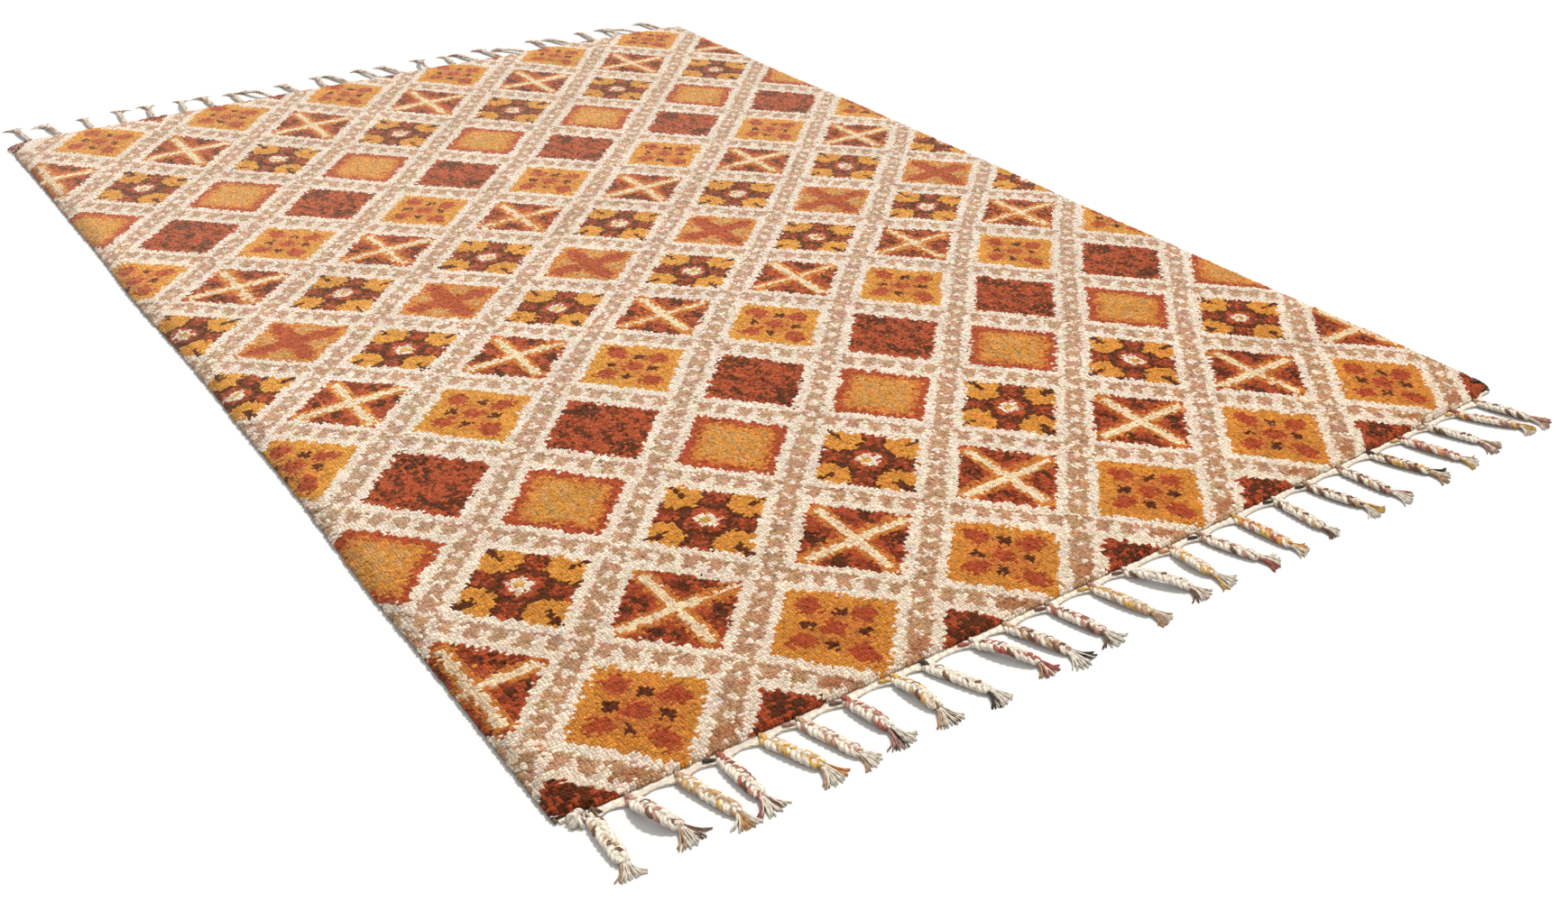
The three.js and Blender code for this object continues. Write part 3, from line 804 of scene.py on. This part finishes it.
def pile_strip(number, corners, tips, colours, material):
    """One strip of the pile: its nubs, its sides down to the ground weave, and its underside."""
    width = NUBS_ACROSS // STRIPS
    first = number * width
    feet = corners[first:first + width + 1]
    ends = tips[first:first + width]
    shades = colours[first:first + width]
    foot_index = np.arange(feet[..., 0].size).reshape(feet.shape[:2])
    tip_index = foot_index.size + np.arange(ends[..., 0].size).reshape(ends.shape[:2])

    # Nubs, each of four triangles from one corner of its foot to the next and up to the tip, with the colours
    # and map places of their corners
    rows_in_block = math.ceil(NUBS_ALONG / MAP_BLOCKS)
    block_width = width + MAP_SPARE_COLUMNS
    i, j = np.indices(ends.shape[:2])
    block = j // rows_in_block
    origin = np.stack([block * block_width + i, j - block * rows_in_block], -1)
    # Painted shade darkens each nub's foot corners, and painted light lightens its tip
    dark, light = shades * FOOT_PAINTED_SHADE, shades * TIP_PAINTED_LIGHT
    faces, corner_colours, map_places = [], [], []
    for corner, next_corner in zip(SQUARE, SQUARE[1:] + SQUARE[:1]):
        foot, next_foot = (foot_index[a:width + a, b:NUBS_ALONG + b] for a, b in (corner, next_corner))
        faces.append(np.stack([foot, next_foot, tip_index], -1))
        corner_colours.append(np.stack([dark, dark, light], 2))
        map_places.append(origin[:, :, None] + np.array([corner, next_corner, (0.5, 0.5)]))
    faces = np.concatenate(faces).reshape(-1, 3)
    corner_colours = np.concatenate(corner_colours).reshape(-1, 3)
    map_places = np.concatenate(map_places).reshape(-1, 2)

    # The rim of the strip, anticlockwise seen from above, and its foot just above the ground weave
    near_row, far_row = foot_index[:-1, 0], foot_index[:0:-1, -1]
    rim = np.concatenate([near_row, foot_index[-1, :-1], far_row, foot_index[0, :0:-1]])
    places = feet.reshape(-1, 3)[rim].copy()
    is_end = np.isin(rim, np.concatenate([foot_index[:, 0], foot_index[:, -1]]))
    is_side = np.isin(rim, foot_index[0 if number == 0 else -1]) & (number in (0, STRIPS - 1))
    for axis, is_outer, edge in ((0, is_side, SIDE_RIM), (1, is_end, END_RIM)):
        inset = PILE_FOOT.inset - edge.insets[0]
        places[:, axis] -= np.where(is_outer, np.sign(places[:, axis]) * inset, 0)
    end_height = np.where(is_end, PILE_FOOT.end_height, PILE_FOOT.inner_height)
    places[:, 2] = np.where(is_side, PILE_FOOT.side_height, end_height)
    under = foot_index.size + tip_index.size + np.arange(len(rim))
    walls = np.stack([under, np.roll(under, -1), np.roll(rim, -1), rim], -1)

    # The underside: rows of faces from side to side, with the ends closed by one face each
    right = under[width:width + NUBS_ALONG + 1]
    left = np.concatenate([under[:1], under[:width + NUBS_ALONG + width - 1:-1]])
    floor_rows = np.stack([left[1:-2], left[2:-1], right[2:-1], right[1:-2]], -1)
    near_end = [right[1], *under[width::-1], left[1]]
    far_end = [left[-2], *under[width + NUBS_ALONG:2 * width + NUBS_ALONG + 1][::-1], right[-2]]
    plain_faces = [*walls.tolist(), *floor_rows.tolist(), near_end, far_end]

    # The hidden faces lie one above the other in the map's spare columns
    hidden_places = []
    for count, face in enumerate(plain_faces):
        place = count * MAP_BLOCKS * rows_in_block / len(plain_faces)
        spare_block, row = divmod(place, rows_in_block)
        middle = spare_block * block_width + width + 1.5
        for turn in np.arange(len(face)) * (2 * math.pi / len(face)):
            hidden_places.append((middle + math.cos(turn), row + 0.1 * math.sin(turn) + 0.1))
    map_places = np.concatenate([map_places, np.array(hidden_places)])
    hidden = np.full((len(hidden_places), 3), shades.mean())

    name = f"pile_{number + 1}"
    points = np.concatenate([feet.reshape(-1, 3), ends.reshape(-1, 3), places])
    obj = add_mesh(name, points, [*faces.tolist(), *plain_faces])
    set_corner_colours(obj.data, np.concatenate([corner_colours, hidden]))
    set_uvs(obj.data, "OFBake", map_places / (MAP_BLOCKS * block_width, rows_in_block + 1))
    finish_piece(obj, name, material, "rug_body")


class RUG_OT_knot_pile(bpy.types.Operator):
    """Knot the pile, strip by strip"""

    bl_idname = "rug.knot_pile"
    bl_label = "Knot the pile"

    def execute(self, context):
        settings = context.scene.rug_pile
        corners = nub_corners(settings)
        tips = nub_tips(corners, settings)
        colours = nub_colours(tips, settings)
        material = pile_wool(settings.yarn_tip)
        for number in range(STRIPS):
            pile_strip(number, corners, tips, colours, material)
        return {"FINISHED"}


# The ground weave

class RUG_OT_lay_ground_weave(bpy.types.Operator):
    """Lay the ground weave that the pile is knotted into"""

    bl_idname = "rug.lay_ground_weave"
    bl_label = "Lay the ground weave"

    def execute(self, context):
        obj = thick_grid(context, GROUND.across, GROUND.along, GROUND.thick)
        for vertex in obj.data.vertices:
            place = vertex.co.x, vertex.co.y
            vertex.co.x, vertex.co.y = (
                reach - math.copysign(LEDGE + GAP, reach) * (abs(share) > 0.999)
                for reach, share in zip(on_outline(*place), place)
            )
        material = woven_wool("ground_weave", context.scene.rug_binding.ground, GROUND)
        finish_piece(obj, "ground_weave", material, "rug_body")
        return {"FINISHED"}


def thick_grid(context, across, along, thickness):
    """A closed slab from -1 to 1 each way, cut into cells."""
    deselect()
    bpy.ops.mesh.primitive_grid_add(x_subdivisions=across, y_subdivisions=along, size=2)
    mode("EDIT")
    bpy.ops.mesh.extrude_region_move(TRANSFORM_OT_translate={"value": (0, 0, thickness)})
    mode("OBJECT")
    return context.object


# The side cords

class RUG_OT_overcast_sides(bpy.types.Operator):
    """Overcast a cord along each long side"""

    bl_idname = "rug.overcast_sides"
    bl_label = "Overcast the sides"

    def execute(self, context):
        settings = context.scene.rug_binding
        material = overcast_wool(settings.cord)
        for name, side in (("selvedge_left", -1), ("selvedge_right", 1)):
            obj = side_cord(context, side, settings.wrap)
            finish_piece(obj, name + "_cord", material, name)
        return {"FINISHED"}


def side_cord(context, side, wrap):
    """One turn of the overcasting, repeated along the side and set on the outline."""
    end_reach = half_length(PILE_WIDTH / 2) + STRIP_SHOWING - CORD_SHORT
    turns = round(2 * end_reach / wrap)
    pitch = 2 * end_reach / turns
    deselect()
    bpy.ops.mesh.primitive_cylinder_add(
        vertices=CORD.sides, radius=CORD.neck * CORD.radius, depth=pitch, end_fill_type="NOTHING",
        rotation=(math.pi / 2, 0, 0),
    )
    obj = context.object
    bpy.ops.object.transform_apply(location=False, rotation=True, scale=False)
    mode("EDIT")
    bpy.ops.mesh.select_all(action="SELECT")
    bpy.ops.mesh.bisect(plane_co=(0, 0, 0), plane_no=(0, 1, 0))
    bpy.ops.transform.resize(value=(CORD.swelling, 1, CORD.swelling), center_override=(0, 0, 0))
    mode("OBJECT")
    array = obj.modifiers.new("turns", "ARRAY")
    array.count = turns
    array.use_relative_offset = False
    array.use_constant_offset = True
    array.constant_offset_displace = (0, pitch, 0)
    array.use_merge_vertices = True
    array.merge_threshold = CORD.weld
    bpy.ops.object.modifier_apply(modifier="turns")
    mode("EDIT")
    bpy.ops.mesh.select_all(action="SELECT")
    bpy.ops.mesh.fill_holes(sides=8)
    bpy.ops.mesh.normals_make_consistent(inside=False)
    mode("OBJECT")
    obj.data.shade_smooth()

    places = np.empty(3 * len(obj.data.vertices))
    obj.data.vertices.foreach_get("co", places)
    places = places.reshape(-1, 3)
    y = places[:, 1] + pitch / 2 - end_reach + CORD.slant * side * places[:, 2]
    y = np.clip(y, -end_reach, end_reach)
    along = np.clip(y, -PILE_LENGTH / 2, PILE_LENGTH / 2)
    places[:, 0] += side * (half_width(side, along) - (LEDGE - GAP - CORD.radius))
    places[:, 1] = y
    places[:, 2] = np.maximum(places[:, 2] + CORD.radius, 0)
    obj.data.vertices.foreach_set("co", places.ravel())
    obj.data.update()
    return obj


# The end strips

class RUG_OT_weave_end_strips(bpy.types.Operator):
    """Weave the narrow flat strip past the pile at each end"""

    bl_idname = "rug.weave_end_strips"
    bl_label = "Weave the end strips"

    def execute(self, context):
        material = woven_wool("strip_weave", context.scene.rug_binding.strip, STRIP)
        for name, end, plaits, form in both_ends():
            obj = end_strip(context, end, [plait.at for plait in plaits])
            finish_piece(obj, f"end_strip_{name}", material, f"fringe_{name}")
        return {"FINISHED"}


def strip_edge(x, roots):
    """How far past the pile the strip's outer edge lies."""
    to_root = np.min(abs(np.asarray(x)[..., None] - np.asarray(roots)), -1)
    closeness = np.clip(1 - to_root / STRIP_EDGE.reach, 0, 1)
    corner = STRIP_EDGE.corner * smoothstep(abs(np.asarray(x)), *STRIP_EDGE.corner_run)
    return STRIP_EDGE.between + (STRIP_EDGE.root - STRIP_EDGE.between) * closeness ** 2 - corner


def end_strip(context, end, roots):
    """A flat strip shaped to its section, its edge drawn in a little between the plaits."""
    last = len(STRIP_SECTION) - 1
    obj = thick_grid(context, STRIP.steps, last, 1)
    left, right = (side * (half_width(side, end * PILE_LENGTH / 2) - (LEDGE + GAP)) for side in (-1, 1))
    for vertex in obj.data.vertices:
        place = round((vertex.co.y + 1) / 2 * last)
        station = STRIP_SECTION[place if end > 0 else last - place]
        x = left + (right - left) * (vertex.co.x + 1) / 2
        edge = strip_edge(x, roots) if station.out > 0 else STRIP_SHOWING
        y = end * (half_length(x) + station.out * edge / STRIP_SHOWING)
        vertex.co = (x, y, station.height if vertex.co.z > 0.5 else 0)
    obj.data.update()
    obj.data.shade_smooth()
    deselect()
    obj.select_set(True)
    bpy.ops.object.shade_smooth_by_angle(angle=math.radians(50))
    return obj


# The fringes

class YarnMesh:
    """Gathers closed tubes of yarn into one mesh."""

    def __init__(self, palette):
        self.palette = palette
        self.points = []
        self.faces = []
        self.colours = []
        self.ply_places = []
        self.count = 0

    def add_tube(self, path, half_width, half_height, sides, yarns, twist=0, shade=1.0):
        """A tube along a path, flattened to its half sizes. Its sides are shared between its yarns, which may
        twist round it, and each station may be lighter or darker."""
        path = np.asarray(path)
        stations = len(path)
        ahead = np.gradient(path, axis=0)
        ahead /= np.linalg.norm(ahead, axis=1, keepdims=True)
        across = np.cross(ahead, (0, 0, 1.0))
        across /= np.linalg.norm(across, axis=1, keepdims=True)
        up = np.cross(across, ahead)
        turn = 2 * math.pi * (np.arange(sides) + 0.5) / sides
        rings = (
            path[:, None]
            + np.reshape(half_width, (-1, 1, 1)) * across[:, None] * np.cos(turn)[None, :, None]
            + np.reshape(half_height, (-1, 1, 1)) * up[:, None] * np.sin(turn)[None, :, None]
        )
        station, side = np.indices((stations - 1, sides))
        beside = (side + 1) % sides
        here, ahead_of_it = station * sides, (station + 1) * sides
        base = self.count
        walls = [here + side, ahead_of_it + side, ahead_of_it + beside, here + beside]
        walls = base + np.stack(walls, -1).reshape(-1, 4)
        caps = []
        for first, order in ((base, 1), (base + (stations - 1) * sides, -1)):
            for k in range(1, sides - 2, 2):
                caps.append([first, first + k, first + k + 1, first + k + 2][::order])
        yarn = (beside * len(yarns) // sides + np.reshape(twist, (-1, 1))) % len(yarns)
        tones = np.array([self.palette[letter] for letter in yarns])
        lightness = np.reshape(shade, (-1, 1)) * (1 + 0.12 * stray(base + station, side))
        wall_tones = tones[yarn.reshape(-1)] * lightness.reshape(-1, 1)
        self.points.append(rings.reshape(-1, 3))
        self.faces.append(np.concatenate([walls, np.array(caps)]))
        self.colours.append(np.concatenate([wall_tones, np.repeat(tones[:1], len(caps), 0)]))
        steps = np.linalg.norm(np.diff(path, axis=0), axis=1)
        lengths = np.concatenate([[0], np.cumsum(steps)])[:, None] * PLIES.along
        around = np.arange(sides + 1) / sides * PLIES.around
        corners = ((around[:-1], lengths[:-1]), (around[:-1], lengths[1:]))
        corners += ((around[1:], lengths[1:]), (around[1:], lengths[:-1]))
        wall_places = np.stack([np.stack(np.broadcast_arrays(*corner), -1) for corner in corners], 2)
        cap_places = np.broadcast_to(np.array(SQUARE) * 0.3, (len(caps), 4, 2))
        self.ply_places.append(np.concatenate([wall_places.reshape(-1, 4, 2), cap_places]))
        self.count += stations * sides

    def make(self, name):
        faces = np.concatenate(self.faces)
        obj = add_mesh(name, np.concatenate(self.points), faces.tolist())
        obj.data.shade_smooth()
        set_corner_colours(obj.data, np.repeat(np.concatenate(self.colours), 4, 0))
        set_uvs(obj.data, "OFBake", cells_map(len(faces)))
        set_uvs(obj.data, "ply", np.concatenate(self.ply_places))
        return obj


def cells_map(face_count):
    """A place of its own on the map for each four-sided face, in rows of small squares."""
    in_row = math.ceil(math.sqrt(face_count))
    number = np.arange(face_count)
    origin = np.stack([number % in_row, number // in_row], -1)
    corners = np.array(((0.1, 0.1), (0.1, 0.9), (0.9, 0.9), (0.9, 0.1)))
    return (origin[:, None] + corners) / in_row


def heading_at(end, lean):
    """The way that a plait or tassel points, as a turn from +Y towards +X, from its lean in degrees."""
    return math.radians(lean) if end > 0 else math.pi - math.radians(lean)


def add_plait(yarns, plait, form, end, roots, number, chevron):
    """A three-strand plait from the strip's edge, with its root and its tassel."""
    heading = heading_at(end, plait.lean)
    ahead = np.array([math.sin(heading), math.cos(heading), 0])
    across = np.array([math.cos(heading), -math.sin(heading), 0])
    up = np.array([0, 0, 1.0])
    root = np.array([plait.at, end * (half_length(plait.at) + STRIP_EDGE.root - PLAIT.inset), 0])

    distance = np.linspace(-PLAIT.tucked, plait.length, PLAIT.stations)
    arch = np.sin(math.pi * np.clip(distance / plait.length, 0, 1))
    width = smoothstep(distance, -PLAIT.tucked, PLAIT.root_run)
    width = PLAIT.root_width + (1 - PLAIT.root_width) * width
    width -= PLAIT.tip_loss * smoothstep(distance, plait.length - PLAIT.tip_run, plait.length)
    middle = root + distance[:, None] * ahead - (end * plait.bow * arch)[:, None] * across
    middle[:, 2] += PLAIT.middle + plait.arch * arch
    thick = form.size * (PLAIT.slimmest + (1 - PLAIT.slimmest) * width)
    first_turn = 2 * math.pi * scatter(number, 5)
    for strand in range(3):
        turn = 2 * math.pi * (distance / (3 * chevron) + strand / 3) + first_turn
        path = (
            middle
            + (PLAIT.swing * form.size * width * np.sin(turn))[:, None] * across
            + (PLAIT.rise * width * np.sin(2 * turn))[:, None] * up
        )
        crossing = np.floor(turn[:-1] / math.pi + 0.25).astype(int)
        # Painted shade: each strand is darker where it dives under the others and lighter where it rides over
        # them
        shade = 0.86 + 0.20 * np.sin(2 * turn[:-1])
        letters = plait.strands[3 * strand:3 * strand + 3]
        yarns.add_tube(
            path, PLAIT.half_width * thick, PLAIT.half_height * thick, PLAIT.sides, letters, crossing, shade
        )
    add_root(yarns, plait, end, roots)
    add_tassel(yarns, plait, form, middle[-1], end, number)


def add_root(yarns, plait, end, roots):
    """The collar that the plait grows from, the yarns gathered on either side, and the coloured stub."""

    def lay_yarn(x, y, z, half, flattened, letter):
        yarns.add_tube(np.stack([x, end * y, z], -1), half, flattened * half, 6, letter)

    steps = np.linspace(0, 1, 5)
    y = half_length(plait.at) + STRIP_EDGE.root
    y = y + COLLAR.from_edge + (COLLAR.past_edge - COLLAR.from_edge) * steps
    bulge = np.sin(math.pi * steps)
    half = COLLAR.half * (0.6 + 0.4 * bulge)
    x = plait.at + COLLAR.slant * steps
    lay_yarn(x, y, COLLAR.height + COLLAR.rise * bulge, half, 0.75, plait.root)

    steps = np.linspace(0, 1, 7)
    for gather in GATHERS:
        x = plait.at + gather.side * gather.reach * (1 - steps)
        x = np.clip(x, -PILE_WIDTH / 2 + GATHERED.left_room, PILE_WIDTH / 2 - GATHERED.right_room)
        x = x + 0.0001 * steps * gather.side
        y = half_length(x) + strip_edge(x, roots)
        y = y - gather.inset * (1 - 0.6 * steps) + GATHERED.out * steps ** 3
        half = GATHERED.tip_half + (gather.half - GATHERED.tip_half) * steps
        lay_yarn(x, y, half + GATHERED.lift, half, 0.8, "c")

    if plait.beside != "c" and plait.at - STUB.apart > STUB.room - PILE_WIDTH / 2:
        steps = np.linspace(-0.5, 0.5, 4)
        x = plait.at - STUB.apart + STUB.length * steps
        y = half_length(x) + strip_edge(x, roots) - STUB.inset + STUB.slant * steps
        half = STUB.half * (1 - 1.6 * steps ** 2)
        lay_yarn(x, y, 0 * x + STUB.height, half, 1, plait.beside)


def add_tassel(yarns, plait, form, tip, end, number):
    """Loose yarns that fan out from the tip of a plait and lie on the floor."""
    heading = heading_at(end, plait.tassel_lean)
    letters = plait.tassel
    steps = np.linspace(0, 1, TASSEL.steps)
    for k in range(TASSEL.yarns):
        share = k / (TASSEL.yarns - 1)
        side = -end * (2 * share - 1)
        fan = side * TASSEL.fan * form.spread + TASSEL.stray * stray(number * 3 + k, 7 + end)
        length = plait.tassel_length * (0.90 + 0.20 * scatter(number + k, 13 + end))
        start = tip + TASSEL.tip_half * side * np.array([math.cos(heading), -math.sin(heading), 0])
        bend = fan * (0.35 + 0.65 * steps) + TASSEL.curl * stray(k + 5, number * 7) * steps ** 2
        turn = heading + np.radians(bend)
        reach = length * steps
        half = form.size * TASSEL.half * (1.05 - 0.15 * steps)
        drop = (tip[2] - half) * smoothstep(steps, 0, 0.85 - 0.4 * scatter(k, number))
        lift = TASSEL.lift * scatter(k + 40, number) * np.sin(math.pi * steps)
        height = np.maximum(half - tip[2], lift - drop)
        path = start + np.stack([reach * np.sin(turn), reach * np.cos(turn), height], -1)
        letter = letters[min(int(share * len(letters)), len(letters) - 1)]
        # form.shade paints the far tassels lighter, as painted light
        shade = form.shade * (0.86 + 0.16 * scatter(k + 3, number + 2))
        yarns.add_tube(path, half, half, TASSEL.sides, letter, 0, shade)


def add_corner_tuft(yarns, tuft):
    """A loose bundle of short yarns that fan out a little and hang down to the floor."""
    steps = np.linspace(0, 1, TUFT.steps)
    y = tuft.end * (PILE_LENGTH / 2 + tuft.out)
    x = tuft.side * (half_width(tuft.side, y) - tuft.inset)
    for k in range(tuft.count):
        share = k / (tuft.count - 1) - 0.5
        fan = TUFT.fan * tuft.count ** 0.5 * share
        turn = np.radians(tuft.heading + fan + TUFT.curl * stray(k, 61) * steps)
        reach = tuft.length * (0.8 + 0.4 * scatter(k, 67)) * steps
        half = tuft.half * (1.1 - 0.3 * steps)
        height = tuft.height + TUFT.wander * stray(k, 71)
        z = np.maximum(half, height * (1 - TUFT.sag * steps ** 2))
        start = x + TUFT.spacing * tuft.count * share
        path = np.stack([start + reach * np.sin(turn), y + reach * np.cos(turn), z], -1)
        yarns.add_tube(path, half, half, TUFT.sides, tuft.yarn, 0, 0.86 + 0.16 * scatter(k, 73))


def far_plaits():
    """The far end's plaits, which borrow the near ones' yarns in another order."""
    step = (PILE_WIDTH - 2 * FAR.margin) / (FAR.count - 1)
    plaits = []
    for k in range(FAR.count):
        plait = Sizes(**vars(NEAR_PLAITS[(7 * k + 3) % len(NEAR_PLAITS)]))
        is_outer = k in (0, FAR.count - 1)
        plait.strands = plait.strands.translate(FAR_YARNS)
        plait.tassel = plait.tassel.translate(FAR_YARNS)
        plait.at = FAR.margin - PILE_WIDTH / 2 + step * k + (0 if is_outer else FAR.wander * stray(k, 41))
        plait.lean = FAR.lean + FAR.lean_wander * stray(k, 17)
        plait.tassel_lean = plait.lean + FAR.tassel_wander * stray(k, 43)
        plait.length = FAR.length + FAR.length_wander * stray(k, 29)
        plaits.append(plait)
    return plaits


def both_ends():
    """Each end's name, its side of the rug, its plaits and their form."""
    return ("near", -1, NEAR_PLAITS, NEAR_FORM), ("far", 1, far_plaits(), FAR_FORM)


class RUG_OT_plait_fringes(bpy.types.Operator):
    """Plait the fringe at each end"""

    bl_idname = "rug.plait_fringes"
    bl_label = "Plait the fringes"

    def execute(self, context):
        settings = context.scene.rug_fringe
        palette = {letter: getattr(settings, name)[:] for letter, name in FRINGE_LETTERS.items()}
        material = fringe_yarn()
        for name, end, plaits, form in both_ends():
            yarns = YarnMesh(palette)
            roots = [plait.at for plait in plaits]
            for number, plait in enumerate(plaits):
                add_plait(yarns, plait, form, end, roots, number, settings.chevron)
            for tuft in CORNER_TUFTS:
                if tuft.end == end:
                    add_corner_tuft(yarns, tuft)
            obj = yarns.make(f"plaits_{name}")
            finish_piece(obj, f"plaits_{name}", material, f"fringe_{name}")
        return {"FINISHED"}


# The stage

class RUG_OT_set_stage(bpy.types.Operator):
    """Set the camera, the pale floor and the soft light"""

    bl_idname = "rug.set_stage"
    bl_label = "Set the stage"

    def execute(self, context):
        settings = context.scene.rug_stage
        camera_data = bpy.data.cameras.new("photo_camera")
        camera_data.lens = CAMERA.lens
        camera_data.sensor_width = CAMERA.sensor
        camera_data.clip_end = 100
        camera = add_object("photo_camera", camera_data)
        turn = Matrix.Rotation(-math.radians(CAMERA.heading), 4, "Z")
        tip = Matrix.Rotation(math.radians(90 - CAMERA.pitch), 4, "X")
        roll = Matrix.Rotation(math.radians(CAMERA.roll), 4, "Z")
        camera.matrix_world = Matrix.Translation(CAMERA.place) @ turn @ tip @ roll
        context.scene.camera = camera

        deselect()
        bpy.ops.mesh.primitive_plane_add(size=FLOOR.size, location=(0, 0, FLOOR.height))
        floor = context.object
        bpy.ops.object.transform_apply(location=True, rotation=True, scale=True)
        floor.name = "studio_floor"
        floor.data.materials.append(floor_paint(settings.floor))

        world = bpy.data.worlds.new("studio_light")
        world.use_nodes = True
        background = world.node_tree.nodes["Background"]
        background.inputs["Color"].default_value = (1, 1, 1, 1)
        background.inputs["Strength"].default_value = settings.sky
        context.scene.world = world

        lamp_data = bpy.data.lights.new("key_light", "SUN")
        lamp_data.energy = settings.key
        lamp_data.angle = settings.key_width
        lamp_data.color = KEY_LIGHT.colour
        lamp = add_object("key_light", lamp_data)
        turn = Matrix.Rotation(settings.key_turn, 4, "Z")
        lift = Matrix.Rotation(math.pi / 2 - settings.key_lift, 4, "Y")
        lamp.matrix_world = turn @ lift @ Matrix.Translation((0, 0, KEY_LIGHT.distance))
        context.scene.view_settings.view_transform = "Standard"
        return {"FINISHED"}


# The sidebar panel, and the run

class RUG_PT_making(bpy.types.Panel):
    """Lists the steps that make the rug"""

    bl_idname = "RUG_PT_making"
    bl_label = "Marmoucha rug"
    bl_space_type = "VIEW_3D"
    bl_region_type = "UI"
    bl_category = "Rug"

    def draw(self, context):
        for step in STEPS:
            self.layout.operator(step.bl_idname)
        for settings in GROUPS:
            group = getattr(context.scene, settings)
            self.layout.label(text=group.__class__.__doc__)
            for name in group.__class__.__annotations__:
                self.layout.prop(group, name)


STEPS = (
    RUG_OT_set_stage, RUG_OT_lay_ground_weave, RUG_OT_knot_pile, RUG_OT_overcast_sides,
    RUG_OT_weave_end_strips, RUG_OT_plait_fringes,
)
GROUPS = {
    "rug_pile": PileSettings, "rug_fringe": FringeSettings, "rug_binding": BindingSettings,
    "rug_stage": StageSettings,
}
CLASSES = (*GROUPS.values(), *STEPS, RUG_PT_making)


def register():
    for made in CLASSES:
        bpy.utils.register_class(made)
    for name, group in GROUPS.items():
        setattr(bpy.types.Scene, name, bpy.props.PointerProperty(type=group))


def unregister():
    for name in GROUPS:
        delattr(bpy.types.Scene, name)
    for made in reversed(CLASSES):
        bpy.utils.unregister_class(made)


def main():
    register()
    for step in STEPS:
        group, name = step.bl_idname.split(".")
        getattr(getattr(bpy.ops, group), name)()


if __name__ == "__main__":
    main()
